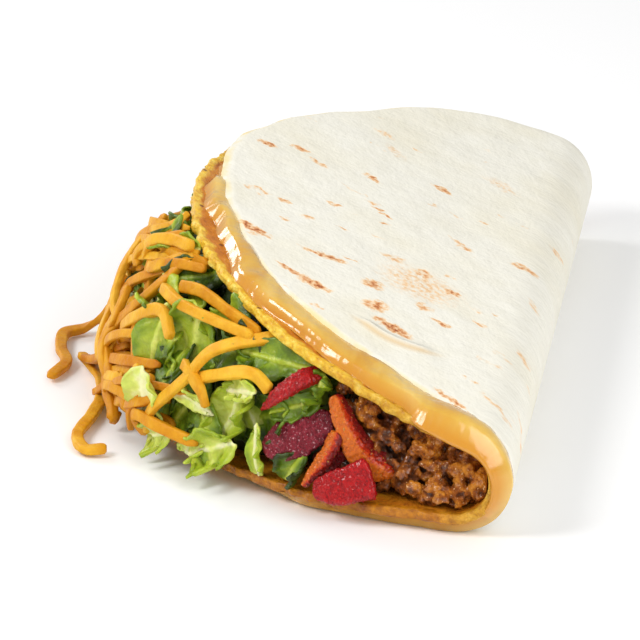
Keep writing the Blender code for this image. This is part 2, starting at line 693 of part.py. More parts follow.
def cheddar_pieces(draw, obstacles):
    """Grated shreds over the front. Long ones that run along the heap tie the crossing ones together."""
    shreds = []

    def add(rows, width, rings):
        """Lays a shred by (angle, height, lift) rows, moved out and down until it is clear."""
        for raised in SHRED_RAISES:
            for lowered in SHRED_DROPS:
                points = [heap_point(angle, high - lowered, lift + raised) for angle, high, lift in rows]
                if add_points(points, width, rings):
                    return

    def add_points(points, width, rings, face=SHRED_FACE):
        piece = swept_piece(points, width, width * SHRED_FLATNESS, face, rings=rings)
        if is_clear(piece, obstacles):
            shreds.append(piece)
            return True
        piece.free()
        return False

    for height in TIE_HEIGHTS:
        rows = [(angle, height + TIE_WAVE * math.sin(3 * angle), TIE_LIFT) for angle in TIE_ANGLES]
        add(rows, SHRED_WIDTH, 10)
    for row in LEADING_SHREDS:
        add([(math.radians(angle), height, lift) for angle, height, lift in row], LEADING_SHRED_WIDTH, 6)
    for row in FALLEN_SHREDS:
        points = [Vector((x, FOLD_Y + y, z)) for x, y, z in row]
        add_points(points, SHRED_WIDTH, 2 * len(row) - 2, Vector((0, 0, 1)))
    for _ in range(SHRED_TRIES * SHRED_COUNT):
        if len(shreds) >= SHRED_COUNT:
            break
        angle = math.radians(draw.uniform(*SHRED_ANGLES))
        height = draw.uniform(*SHRED_HEIGHTS)
        lean = draw.uniform(-SHRED_LEAN, SHRED_LEAN)
        rise = draw.choice((-1, 1)) * draw.uniform(*SHRED_RISES)
        lift = draw.uniform(*SHRED_LIFTS)
        bow = draw.uniform(-SHRED_BOW, SHRED_BOW)
        rows = []
        for s in SHRED_STATIONS:
            arch = 1 - s * s
            rows.append((angle + lean * s, height + rise * s + bow * arch, lift + SHRED_ARCH * arch))
        add(rows, SHRED_WIDTH * draw.uniform(*SHRED_WIDTHS), 5)
    return shreds


# Crisp strips at the near end: name, material, (width, thickness) and facing,
# then a path as (x, y from the fold's axis, z)
STRIPS = (
    ("red_strip_upper", "red_strip", (0.0034, 0.0016), (1, -0.5, 0.6),
     ((0.0620, -0.0358, 0.0165), (0.0630, -0.0322, 0.0203), (0.0618, -0.0285, 0.0228),
      (0.0600, -0.0258, 0.0232))),
    ("purple_strip", "purple_strip", (0.0062, 0.0016), (1, -0.25, 0.5),
     ((0.0615, -0.0345, 0.0098), (0.0620, -0.0290, 0.0132), (0.0615, -0.0238, 0.0160))),
    ("orange_strip_long", "orange_strip", (0.0042, 0.0030), (0.7, -0.7, 0.15),
     ((0.0645, -0.0220, 0.0206), (0.0660, -0.0193, 0.0152), (0.0668, -0.0163, 0.0104),
      (0.0665, -0.0115, 0.0078))),
    ("orange_strip_short", "orange_strip", (0.0030, 0.0020), (1, -0.4, 0.2),
     ((0.0645, -0.0222, 0.0142), (0.0660, -0.0238, 0.0102), (0.0675, -0.0268, 0.0062))),
    ("red_strip_lower", "red_strip", (0.0062, 0.0024), (1, -0.2, 0.5),
     ((0.0705, -0.0252, 0.0075), (0.0712, -0.0200, 0.0082), (0.0705, -0.0152, 0.0092))),
    ("red_strip_back", "red_strip", (0.0048, 0.0016), (1, 0.2, 0.1),
     ((0.0625, -0.0262, 0.0068), (0.0630, -0.0230, 0.0078), (0.0625, -0.0192, 0.0082))),
)


def crisp_strips(group, obstacles):
    """Rough bars that lean on the filling, each moved outwards along X until it is clear."""
    placed = list(obstacles)
    for name, key, (width, thickness), facing, path in STRIPS:
        for step in range(STRIP_STEPS):
            shift = step * STRIP_STEP
            points = [Vector((x + shift, FOLD_Y + y, z)) for x, y, z in path]
            piece = swept_piece(points, width, thickness, Vector(facing), sides=8, rings=8,
                                taper=STRIP_TAPER, rough=STRIP_ROUGHNESS)
            if is_clear(piece, placed):
                break
        placed.append(BVHTree.FromBMesh(piece))
        add_object(name, piece, key, group)


def build():
    clear_scene()
    noise.seed_set(NOISE_SEED)
    taco = collection("taco")
    cutters = collection("cutters")
    draw = random.Random(DRAW_SEED)
    folded_sheet("corn_shell", shell_outline, 0.0, SHELL_THICKNESS, "corn_shell", taco)
    cheese_out = SHELL_THICKNESS + LAYER_GAP
    folded_sheet("cheese_sauce", cheese_outline, cheese_out, CHEESE_THICKNESS, "cheese_sauce", taco)
    flour_out = cheese_out + CHEESE_THICKNESS + LAYER_GAP
    folded_sheet("flour_tortilla", flour_outline, flour_out, FLOUR_THICKNESS, "flour_tortilla", taco)
    sheet_trees = [tree_of(sheet) for sheet in taco.objects]
    shell_tree = sheet_trees[0]
    fuse("ground_beef", beef_core(), beef_crumbs(draw, [shell_tree]), "ground_beef", taco, cutters)
    beef_tree = tree_of(bpy.data.objects["ground_beef"])
    fuse("lettuce", lettuce_core(), lettuce_leaves(draw, [shell_tree, beef_tree]), "lettuce", taco, cutters,
         solver="MANIFOLD")
    lettuce_tree = tree_of(bpy.data.objects["lettuce"])
    shreds = cheddar_pieces(draw, sheet_trees + [lettuce_tree])
    fuse("cheddar_shreds", shreds[0], shreds[1:], "cheddar", taco, cutters)
    crisp_strips(taco, [shell_tree, beef_tree, lettuce_tree, tree_of(bpy.data.objects["cheddar_shreds"])])


build()
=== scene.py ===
"""The looks of a taco lying on its side: a crisp corn shell, glued with melted cheese
into a folded soft tortilla, filled with beef, crisp strips, lettuce and grated cheddar.

Metres, +Z up. X runs along the fold and the near end is at +X. The taco opens to -Y.
"""
import math
import random

import bmesh
import bpy
import numpy as np
from mathutils import Matrix, Vector, noise


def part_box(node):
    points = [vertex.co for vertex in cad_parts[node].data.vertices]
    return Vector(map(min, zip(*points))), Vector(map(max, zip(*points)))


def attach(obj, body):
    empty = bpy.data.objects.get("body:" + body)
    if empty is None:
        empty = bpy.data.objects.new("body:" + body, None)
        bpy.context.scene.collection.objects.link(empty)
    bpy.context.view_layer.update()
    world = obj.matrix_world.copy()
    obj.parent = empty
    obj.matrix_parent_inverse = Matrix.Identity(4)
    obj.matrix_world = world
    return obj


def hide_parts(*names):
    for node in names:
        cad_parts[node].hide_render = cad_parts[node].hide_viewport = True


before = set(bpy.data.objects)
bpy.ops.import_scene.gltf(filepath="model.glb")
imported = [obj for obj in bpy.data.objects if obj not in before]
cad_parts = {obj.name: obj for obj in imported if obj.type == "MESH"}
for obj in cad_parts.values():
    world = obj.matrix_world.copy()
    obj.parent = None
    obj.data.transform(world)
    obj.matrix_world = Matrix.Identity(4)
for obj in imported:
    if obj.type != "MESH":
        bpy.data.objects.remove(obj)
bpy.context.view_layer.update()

# The sheets and their fold, as in the solids
SHELL_RADIUS = 0.075
SHELL_THICKNESS = 0.0015
SHELL_SHIFT = -0.0035
CHEESE_OUT = 0.00175
CHEESE_THICKNESS = 0.0008
FLOUR_OUT = 0.0028
FLOUR_THICKNESS = 0.0012
FLOUR_REACH = (0.076, 0.0685)
FLOUR_SHIFT = -0.004
FLOUR_SET_BACK = 0.06
FOLD_RADIUS = 0.0062
FOLD_Y = 0.036
WEDGE = math.radians(19.0)
FLAP_BEND = math.radians(1.0) / 0.08
FLOOR = 0.004
TURN = math.pi - WEDGE
HALF_ARC = FOLD_RADIUS * TURN / 2

# The filling's outline, as in the solids
CLEARANCE = 0.0005
WALL_Y = -0.0205
WALL_HALF_GAP = 0.0002
BEEF_RECESS = (0.0014, 0.0042)
BEEF_HOLLOW = 0.0042
BEEF_VOXEL = 0.0003
CRUMB_ROWS = 15
CRUMB_COLUMNS = 8
HEAP_NEAR = math.radians(40.0)
HEAP_FAR = math.radians(147.0)
HEAP_BULGE = 0.0035
HEAP_INSETS = (0.955, 0.985)
HEAP_INSET_SPAN = math.radians(10.0)
HEAP_TOP_INSET = 0.975
HEAP_LEAN = 0.15
FAR_INSET = 0.0075
FAR_START = math.radians(84.0)
FAR_SPAN = math.radians(16.0)
LETTUCE_WIDTH = 0.82
RIM_SLOPE = 2.5

# The soft tortilla's crease: an arc about a flat place, the way its middle lies, and the cosines of the
# turns from there at which it ends and is full
CREASE_PLACE = (0.0387, 0.0256)
CREASE_RADIUS = 0.0102
CREASE_TURN = math.radians(8)

# Where the cheese starts and stops running over the shell's rim, in radians round the disc
OVER_RIM = (-0.05, 0.08, 0.28, 0.36)

# Fineness, in cells or points
FLOUR_CELLS = 150
CHEESE_CELLS = 150
SHELL_CELLS = 190

# Random draws, the same at each run
NOISE_SEED = 7

# The photograph's camera
IMAGE_WIDTH = 640
CAMERA_AZIMUTH = math.radians(97.94)
CAMERA_ELEVATION = math.radians(20.89)
CAMERA_DISTANCE = 0.9
CAMERA_TARGET = Vector((0, 0.006, 0.020))
TARGET_PIXEL = (342.1, 270.1)
FOCAL_PIXELS = 4775
SENSOR = 36


# Numbers
def smooth(value, low, high):
    """0 below low, 1 above high, and an even slope between."""
    t = np.clip((value - low) / (high - low), 0, 1)
    return t * t * (3 - 2 * t)


def fbm(points, scale, octaves=3, seed=0.0):
    """Smooth noise about 0 at each point, `scale` waves per metre."""
    points = np.asarray(points, float)
    shift = Vector((seed, 2.3 * seed, -1.7 * seed))
    rows = points.reshape(-1, 3)
    values = [noise.fractal(Vector(row) * scale + shift, 1.0, 2.0, octaves) for row in rows]
    return np.array(values).reshape(points.shape[:-1])


def flat_fbm(u, v, scale, octaves=3, seed=0.0):
    return fbm(np.stack([u, v, np.zeros_like(u)], -1), scale, octaves, seed)


CREASE_ENDS = (0.66, 0.9)
CREASE_HEIGHT = 0.0007
CREASE_WIDTH = 0.0019
# Lamps: name, place, size in metres and power in watts
LAMPS = (
    ("key", (0.28, -0.45, 0.52), 0.24, 2.35),
    ("top", (0.40, 0.42, 0.38), 0.50, 2.45),
    ("rear", (-0.42, -0.52, 0.40), 0.22, 1.6),
)
SKY_STRENGTH = 0.55
FLOOR_SIZE = 3


def ragged(angle, low, high, size, seed):
    """An uneven line round a sheet, made of waves with `low` to `high` turns."""
    draw = random.Random(seed)
    counts = range(low, high, max(1, (high - low) // 12))
    waves = [draw.uniform(0.6, 1.4) * np.sin(count * angle + draw.uniform(0, 2 * math.pi))
             for count in counts]
    return size * sum(waves) / math.sqrt(len(waves))


def unit(vectors):
    return vectors / np.maximum(np.linalg.norm(vectors, axis=-1, keepdims=True), 1e-12)


# The folded section
def folded(u, v, out):
    """World points of flat (u, v), `out` outside the shell's inner face."""
    turned = np.clip((v + HALF_ARC) / FOLD_RADIUS, 0, TURN)
    under = np.maximum(-HALF_ARC - v, 0)
    heading = turned + FLAP_BEND * np.maximum(v - HALF_ARC, 0)
    y = FOLD_RADIUS * np.sin(turned) - under + (np.sin(heading) - np.sin(turned)) / FLAP_BEND
    z = FOLD_RADIUS * (1 - np.cos(turned)) - (np.cos(heading) - np.cos(turned)) / FLAP_BEND
    return np.stack(np.broadcast_arrays(u, FOLD_Y + y + out * np.sin(heading),
                                        FLOOR + z - out * np.cos(heading)), -1)


def flap_v(y):
    """Arc length at which the upper flap passes over y, measured from the fold's axis."""
    return HALF_ARC + np.maximum(FOLD_RADIUS * math.sin(TURN) - y, 0) / math.cos(WEDGE)


def ceiling(y):
    """The shell's inner face above y."""
    arc = FLOOR + FOLD_RADIUS + np.sqrt(np.maximum(FOLD_RADIUS ** 2 - y * y, 0))
    return np.where(y > FOLD_RADIUS * math.sin(TURN), arc, folded(0.0, flap_v(y), 0.0)[..., 2])


def ground(y):
    """The shell's inner face below y."""
    return FLOOR + FOLD_RADIUS - np.sqrt(np.maximum(FOLD_RADIUS ** 2 - np.maximum(y, 0) ** 2, 0))


def rim_x(y, height):
    """Half width of the shell at y, from its lower rim (height 0) to its upper rim (height 1)."""
    low = np.minimum(y, 0) - HALF_ARC - SHELL_SHIFT
    high = flap_v(y) - SHELL_SHIFT
    low_x = np.sqrt(np.maximum(SHELL_RADIUS ** 2 - low ** 2, 0))
    high_x = np.sqrt(np.maximum(SHELL_RADIUS ** 2 - high ** 2, 0))
    return low_x + (high_x - low_x) * height


def tucked(points, margin):
    """Points kept `margin` clear of both flaps' inner faces and of the table."""
    x, y, z = np.moveaxis(points, -1, 0)
    y = y - FOLD_Y
    beyond = np.hypot(x, flap_v(y) - SHELL_SHIFT) - SHELL_RADIUS
    top = ceiling(y) - margin + RIM_SLOPE * np.maximum(beyond + margin, 0)
    within = SHELL_RADIUS - np.hypot(x, np.minimum(y, 0) - HALF_ARC - SHELL_SHIFT)
    bottom = margin + FLOOR * smooth(within, -0.002, 0.0)
    return np.stack([x, y + FOLD_Y, np.clip(z, bottom, np.maximum(top, bottom))], -1)


def heap_away(angle):
    return Vector((math.cos(angle), -math.sin(angle), HEAP_LEAN)).normalized()


def heap_radius(angle):
    """The filling's reach on the flat shell. Past the middle, at its far half, it stays behind the rims."""
    inside = min(angle - HEAP_NEAR, HEAP_FAR - angle) / HEAP_INSET_SPAN
    far = min(max((angle - FAR_START) / FAR_SPAN, 0.0), 1.0)
    end, middle = HEAP_INSETS
    reach = SHELL_RADIUS * (end + (middle - end) * min(max(inside, 0.0), 1.0))
    return reach - FAR_INSET * far * far * (3 - 2 * far)


def far_share(angle):
    """Share by which a heap angle lies in the far half, which stays behind the rims."""
    return float(smooth(angle, FAR_START - FAR_SPAN, FAR_START + FAR_SPAN))


def heap_point(angle, height, lift):
    """On the filling's front. Angle 0 is the near end, 90 degrees the middle; height runs rim to rim."""
    radius = heap_radius(angle)
    u = radius * math.cos(angle)
    v = radius * math.sin(angle)
    gap = Vector((0, 0, CLEARANCE))
    low = Vector(folded(u, -v + SHELL_SHIFT, 0.0)) + gap
    high = Vector(folded(u * HEAP_TOP_INSET, v * HEAP_TOP_INSET + SHELL_SHIFT, 0.0)) - gap
    belly = math.sqrt(max(4 * height * (1 - height), 0.0))
    reach = HEAP_BULGE * math.sin(angle) * belly + lift
    return low.lerp(high, height) + heap_away(angle) * reach


# Meshes
def closed_grid(top, bottom, rows=()):
    """Points and faces of a slab: a grid on each side, joined round the rim through rows of rim points."""
    n, m = top.shape[:2]
    index = np.arange(n * m).reshape(n, m)
    quads = np.stack([index[:-1, :-1], index[1:, :-1], index[1:, 1:], index[:-1, 1:]], -1).reshape(-1, 4)
    loop = rim_loop(index)
    rings = [loop]
    points = [top.reshape(-1, 3), bottom.reshape(-1, 3)]
    start = 2 * n * m
    for row in rows:
        points.append(row)
        rings.append(start + np.arange(len(loop)))
        start += len(loop)
    rings.append(loop + n * m)
    sides = [np.stack([a, b, np.roll(b, -1), np.roll(a, -1)], -1) for a, b in zip(rings, rings[1:])]
    faces = np.concatenate([quads, quads[:, ::-1] + n * m, *sides])
    return np.concatenate(points), faces.tolist()


def rim_loop(grid):
    """The grid's outer entries in order round its rim."""
    return np.concatenate([grid[:-1, 0], grid[-1, :-1], grid[:0:-1, -1], grid[0, :0:-1]])


def slab(middle, thickness):
    """A curved sheet of even thickness about a grid of middle points, thinner at its rim."""
    across = np.cross(np.gradient(middle, axis=0), np.gradient(middle, axis=1))
    offset = unit(across) * thickness / 2
    return closed_grid(middle + offset, middle - offset)


def smooth_path(points, count):
    """Points spread over a Catmull-Rom curve through the given ones."""
    points = np.array(points, float)
    padded = np.vstack([2 * points[0] - points[1], points, 2 * points[-1] - points[-2]])
    t = np.linspace(0, len(points) - 1, count)
    i = np.minimum(t.astype(int), len(points) - 2)
    s = (t - i)[:, None]
    p0, p1, p2, p3 = (padded[i + k] for k in range(4))
    return 0.5 * (2 * p1 + (p2 - p0) * s + (2 * p0 - 5 * p1 + 4 * p2 - p3) * s ** 2
                  + (3 * p1 - p0 - 3 * p2 + p3) * s ** 3)


def blunt_ends(rings, blunt, narrow=0.45):
    """Share of a bar's full width at each ring: its ends close over `blunt` of its half length."""
    from_end = np.minimum((1 - np.abs(np.linspace(-1, 1, rings))) / blunt, 1)
    return narrow + (1 - narrow) * np.sqrt(1 - (1 - from_end) ** 2)


def even_turns(width, thickness, sides, squareness):
    """Turns at which the points of a bar's section lie evenly spread along its outline."""
    around = np.linspace(0, 2 * math.pi, 721)
    x, y = (np.sign(wave) * np.abs(wave) ** squareness for wave in (np.cos(around), np.sin(around)))
    length = np.concatenate([[0], np.cumsum(np.hypot(np.diff(x) * width, np.diff(y) * thickness))])
    return np.interp((np.arange(sides) + 0.5) / sides * length[-1], length, around)


def taken(bm):
    """Points and faces of a bmesh, which is then freed."""
    points = np.array([vert.co for vert in bm.verts])
    faces = [[vert.index for vert in face.verts] for face in bm.faces]
    bm.free()
    return points, faces


def moved_cube(cuts, place):
    """Points and faces of a cube from -1 to 1, cut `cuts` times, with each point at place(a, b, c)."""
    bm = bmesh.new()
    bmesh.ops.create_cube(bm, size=2)
    bmesh.ops.subdivide_edges(bm, edges=bm.edges, cuts=cuts, use_grid_fill=True)
    for vert in bm.verts:
        vert.co = place(*vert.co)
    return taken(bm)


def swept(path, width, thickness, face, sides, grow, squareness, even=False):
    """A closed bar along the path, its broad side towards `face`. `grow` is its share of the width at each
    ring. A low squareness gives flat sides, and one above 1 gives a ridge. `even` spreads the section's
    points evenly along its outline."""
    centre = smooth_path(path, len(grow))
    tangent = unit(np.gradient(centre, axis=0))
    side = unit(np.cross(tangent, np.array(face, float)))
    up = np.cross(side, tangent)
    around = 2 * math.pi * (np.arange(sides) + 0.5) / sides
    if even:
        around = even_turns(width, thickness, sides, squareness)
    corner = [np.sign(wave) * np.abs(wave) ** squareness for wave in (np.cos(around), np.sin(around))]
    flat = np.sqrt(grow)
    points = (centre[:, None] + side[:, None] * (corner[0] * width / 2)[None, :, None] * grow[:, None, None]
              + up[:, None] * (corner[1] * thickness / 2)[None, :, None] * flat[:, None, None])
    index = np.arange(len(grow) * sides).reshape(len(grow), sides)
    following = np.roll(index, -1, axis=1)
    quads = np.stack([index[:-1], following[:-1], following[1:], index[1:]], -1).reshape(-1, 4)
    faces = quads.tolist() + [index[0, ::-1].tolist(), index[-1].tolist()]
    return points.reshape(-1, 3), faces


def remeshed(batch, voxel):
    """The outer skin of overlapping closed shapes, as points, faces and the way each point looks."""
    mesh = bpy.data.meshes.new("overlapping")
    mesh.from_pydata(np.concatenate(batch.points).tolist(), [], batch.faces)
    source = bpy.data.objects.new("overlapping", mesh)
    bpy.context.scene.collection.objects.link(source)
    skin = source.modifiers.new("skin", "REMESH")
    skin.mode = "VOXEL"
    skin.voxel_size = voxel
    graph = bpy.context.evaluated_depsgraph_get()
    made = bpy.data.meshes.new_from_object(source.evaluated_get(graph), depsgraph=graph)
    bpy.data.objects.remove(source, do_unlink=True)
    points = np.empty(len(made.vertices) * 3)
    made.vertices.foreach_get("co", points)
    normals = np.empty(len(made.vertices) * 3)
    made.vertices.foreach_get("normal", normals)
    faces = [list(face.vertices) for face in made.polygons]
    bpy.data.meshes.remove(made)
    return points.reshape(-1, 3), faces, normals.reshape(-1, 3)


class Batch:
    """Gathers closed shapes into one mesh, with a tone from 0 to 1 at each point."""

    def __init__(self):
        self.points = []
        self.faces = []
        self.tones = []
        self.count = 0

    def add(self, points, faces, tone):
        self.faces.extend([[corner + self.count for corner in face] for face in faces])
        self.points.append(points)
        self.tones.append(np.broadcast_to(tone, len(points)))
        self.count += len(points)

    def piece(self, name, look, node, slot):
        points = np.concatenate(self.points)
        return add_piece(name, points, self.faces, look, node, slot, tone=np.concatenate(self.tones))


def add_piece(name, points, faces, look, node, slot, **values):
    """A smooth-shaded piece in place of a node, with `values` kept as attributes of its points."""
    mesh = bpy.data.meshes.new(name)
    mesh.from_pydata(points.tolist(), [], faces)
    bm = bmesh.new()
    bm.from_mesh(mesh)
    bmesh.ops.recalc_face_normals(bm, faces=bm.faces)
    bm.to_mesh(mesh)
    bm.free()
    mesh.shade_smooth()
    mesh.materials.append(look)
    for key, value in values.items():
        vector = value.ndim == 2
        attribute = mesh.attributes.new(key, "FLOAT_VECTOR" if vector else "FLOAT", "POINT")
        attribute.data.foreach_set("vector" if vector else "value", value.astype(np.float32).ravel())
    made = bpy.data.objects.new(name, mesh)
    bpy.context.scene.collection.objects.link(made)
    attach(made, "root")
    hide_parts(node)
    return made


# Materials
def linear(colour):
    """A display colour, 0 to 255, as linear light."""
    parts = [part / 255 for part in colour]
    return tuple(part / 12.92 if part <= 0.04045 else ((part + 0.055) / 1.055) ** 2.4 for part in parts)


class Look:
    """A Principled material and short ways to add texture nodes to it. Its colours are display colours."""

    def __init__(self, name, **sockets):
        self.made = bpy.data.materials.new(name)
        self.made.use_nodes = True
        self.tree = self.made.node_tree
        self.shader = self.tree.nodes["Principled BSDF"]
        for key, value in sockets.items():
            self.feed(self.shader.inputs[key.replace("_", " ")], value)

    def feed(self, socket, value):
        if isinstance(value, bpy.types.NodeSocket):
            self.tree.links.new(value, socket)
        elif socket.type == "RGBA":
            socket.default_value = (*linear(value), 1.0)
        else:
            socket.default_value = value

    def node(self, kind, inputs, **settings):
        made = self.tree.nodes.new("ShaderNode" + kind)
        for key, value in settings.items():
            setattr(made, key, value)
        for key, value in inputs.items():
            self.feed(made.inputs[key], value)
        return made

    def place(self):
        """Where a point is on the object, in metres."""
        return self.node("TexCoord", {}).outputs["Object"]

    def attribute(self, name, output="Fac"):
        return self.node("Attribute", {}, attribute_name=name).outputs[output]

    def noise(self, vector, scale, detail=3.0, roughness=0.55, distortion=0.0):
        inputs = {"Vector": vector, "Scale": scale, "Detail": detail, "Roughness": roughness,
                  "Distortion": distortion}
        return self.node("TexNoise", inputs).outputs["Fac"]

    def cells(self, vector, scale):
        return self.node("TexVoronoi", {"Vector": vector, "Scale": scale}).outputs["Distance"]

    def wobbled(self, vector, scale, reach):
        """The vector moved to and fro by noise, up to half of `reach` each way."""
        wobble = self.node("TexNoise", {"Vector": vector, "Scale": scale, "Detail": 4.0}).outputs["Color"]
        shift = self.node("VectorMath", {0: wobble, 1: (0.5, 0.5, 0.5)}, operation="SUBTRACT").outputs[0]
        shift = self.node("VectorMath", {0: shift, "Scale": reach}, operation="SCALE").outputs[0]
        return self.node("VectorMath", {0: vector, 1: shift}, operation="ADD").outputs[0]

    def stretched(self, vector, place=(0, 0, 0), turn=0.0, size=(1, 1, 1)):
        """The vector seen from a mark at `place`, turned and sized: 1 unit long at the mark's edge."""
        inputs = {"Vector": vector, "Location": place, "Rotation": (0, 0, turn), "Scale": size}
        return self.node("Mapping", inputs, vector_type="TEXTURE").outputs["Vector"]

    def length(self, vector):
        return self.node("VectorMath", {0: vector}, operation="LENGTH").outputs["Value"]

    def part(self, vector, axis):
        return self.node("SeparateXYZ", {"Vector": vector}).outputs[axis]

    def band(self, value, low, high, out_low=0.0, out_high=1.0):
        inputs = {"Value": value, "From Min": low, "From Max": high, "To Min": out_low, "To Max": out_high}
        return self.node("MapRange", inputs).outputs["Result"]

    def peak(self, value, middle, reach):
        """1 where the value is `middle`, down to 0 at `reach` from it."""
        away = self.maths("ABSOLUTE", self.maths("SUBTRACT", value, middle), 0.0)
        return self.band(away, reach, 0.0)

    def maths(self, operation, first, second):
        made = self.node("Math", {}, operation=operation)
        self.feed(made.inputs[0], first)
        self.feed(made.inputs[1], second)
        return made.outputs[0]

    def times(self, first, second):
        return self.maths("MULTIPLY", first, second)

    def mix(self, share, first, second):
        made = self.node("Mix", {}, data_type="RGBA")
        self.feed(made.inputs["Factor"], share)
        self.feed(made.inputs[6], first)
        self.feed(made.inputs[7], second)
        return made.outputs[2]

    def ramp(self, value, *stops):
        """Colours by value, from (value, colour) stops."""
        made = self.node("ValToRGB", {"Fac": value})
        ramp = made.color_ramp
        while len(ramp.elements) < len(stops):
            ramp.elements.new(0.5)
        for element, (place, colour) in zip(ramp.elements, stops):
            element.position = place
            element.color = (*linear(colour), 1.0)
        return made.outputs["Color"]

    def tone(self, grain, spread):
        """The tone kept at each point, 0 to 1, with a share of the grain's ups and downs. On the beef, the
        strips and the lettuce's heart it also carries painted shade, and on the orange strips painted light.
        """
        return self.maths("ADD", self.attribute("tone"), self.band(grain, 0.3, 0.7, -spread, spread))

    def colour(self, value):
        self.feed(self.shader.inputs["Base Color"], value)

    def bump(self, *layers):
        """Relief from (height, depth in metres) layers."""
        normal = None
        for height, depth in layers:
            inputs = {"Height": height, "Distance": depth, "Strength": 1.0}
            if normal:
                inputs["Normal"] = normal
            normal = self.node("Bump", inputs).outputs["Normal"]
        self.feed(self.shader.inputs["Normal"], normal)


# Toast marks on the soft tortilla: flat place, length and width in millimetres, turn in degrees, strength
TOAST_MARKS = (
    (-20, 62, 4, 1.6, 100, 0.9), (-24, 56, 4, 1.4, 110, 0.9), (-20, 52, 5, 0.9, 115, 0.7),
    (-22, 41, 4, 1.6, 130, 1.0), (-30, 28, 5, 1.2, 120, 0.8), (-40, 39, 7, 2.0, 140, 0.3),
    (-47, 42, 6, 1.5, 120, 0.35), (-3, 46, 3, 0.8, 100, 0.6), (4, 55, 2.6, 1.2, 90, 0.8),
    (8, 50, 3, 1.2, 95, 0.6), (12, 53, 2, 0.8, 95, 0.5), (-8, 38, 2.4, 0.8, 100, 0.8),
    (-6, 36, 3, 0.8, 110, 0.9), (-2, 36, 3, 0.5, 80, 0.7), (7, 43, 3, 0.7, 100, 0.5),
    (22, 58, 8, 1.6, 115, 1.0), (23, 44, 9, 1.6, 93, 0.9), (20, 39, 3, 0.8, 95, 0.6),
    (35, 49, 7, 1.0, 120, 0.8), (37, 44, 7, 1.8, 100, 1.0), (28, 34, 5, 2.6, 60, 0.8),
    (37, 32, 5, 2.8, 40, 0.9), (20, 26, 17, 10, 110, 0.34), (14, 26, 4, 2.4, 100, 0.7),
    (30, 24, 4, 2.2, 90, 0.6), (12, 32, 5, 2.2, 80, 0.5), (18, 20, 4, 1.6, 120, 1.0),
    (42.5, 30.5, 3, 1.4, 100, 0.8), (44, 27.5, 8, 2.2, 112, 1.0), (34, 20, 4, 1.2, 110, 0.9),
    (28, 13, 3, 0.8, 100, 0.6), (21, 11, 2, 0.7, 100, 0.5), (-6, 9, 4, 1.8, 100, 0.8),
    (-24, 5, 3, 1.4, 90, 0.5), (-21, 18, 2, 0.8, 100, 0.5), (-7, 22, 4, 0.9, 130, 0.5),
    (-43, 17, 8, 3.0, 120, 0.3), (8, 6, 4, 1.2, 160, 0.4), (33, 5, 4, 1.4, 160, 0.4),
    (65, 14, 8, 1.0, 125, 0.8), (60, 7, 7, 0.9, 140, 0.4), (56, 3, 6, 0.8, 150, 0.3),
)


# How far the faint rims of a mark reach, along and across it
TOAST_SPREAD = (1.3, 2.0)


def toast_marks(look, flat):
    """Strength of the toast at each flat place: the marks of the table and faint sparse flecks."""
    uneven = look.wobbled(flat, 420.0, 0.0035)
    marks = 0.0
    for u, v, length, width, turn, strength in TOAST_MARKS:
        size = (length / 2000 * TOAST_SPREAD[0], width / 2000 * TOAST_SPREAD[1], 1)
        seen = look.stretched(uneven, (u / 1000, v / 1000, 0), math.radians(turn), size)
        marks = look.maths("MAXIMUM", marks, look.band(look.length(seen), 1.0, 0.35, 0.0, strength))
    sparse = look.stretched(uneven, turn=math.radians(110), size=(2.2, 1, 1))
    faint = look.band(look.noise(sparse, 150.0, 2.0), 0.66, 0.74, 0.0, 0.6)
    broken = look.band(look.noise(flat, 900.0, 4.0), 0.38, 0.62, 0.3, 1.0)
    return look.times(look.maths("MAXIMUM", marks, faint), broken)


def crease_line_and_painted_shade(look, flat):
    """The crease's raised line, for the bump, and a painted tan shade on its outer side, where shade falls
    below the lip.
    """
    seen = look.stretched(flat, (*CREASE_PLACE, 0), CREASE_TURN, (CREASE_RADIUS, CREASE_RADIUS, 1))
    away = look.length(seen)
    along = look.part(seen, "X")
    line = look.times(look.peak(away, 1.0, 0.15), look.band(along, *CREASE_ENDS))
    painted_shade = look.times(look.peak(away, 1.13, 0.13), look.band(along, 0.72, 1.0, 0.0, 0.75))
    return line, painted_shade


def flour_look():
    look = Look("soft_tortilla", Roughness=0.62, Specular_IOR_Level=0.35)
    flat = look.attribute("flat", "Vector")
    marks = toast_marks(look, flat)
    cream = look.band(look.noise(flat, 45.0, 3.0), 0.45, 0.75)
    white = look.mix(cream, (237, 234, 222), (233, 227, 206))
    mottled = look.band(look.noise(flat, 260.0, 4.0), 0.3, 0.7, 0.0, 0.35)
    white = look.mix(mottled, white, (226, 222, 204))
    toast = look.ramp(marks, (0.0, (240, 232, 214)), (0.3, (236, 200, 156)), (0.66, (210, 140, 84)),
                      (1.0, (150, 74, 34)))
    dough = look.mix(look.band(marks, 0.02, 0.3), white, toast)
    greasy = look.times(look.band(look.attribute("edge"), 0.0010, 0.0001),
                        look.band(look.noise(flat, 180.0), 0.4, 0.6, 0.0, 0.8))
    dough = look.mix(greasy, dough, (238, 214, 150))
    crease, painted_shade = crease_line_and_painted_shade(look, flat)
    # Painted shade: the crease's outer side is tinted tan, where shade falls below the raised lip
    look.colour(look.mix(painted_shade, dough, (218, 186, 134)))
    look.bump((look.noise(flat, 160.0, 3.0), 0.0007), (look.noise(flat, 1100.0, 4.0), 0.00018),
              (crease, 0.0006))
    return look.made


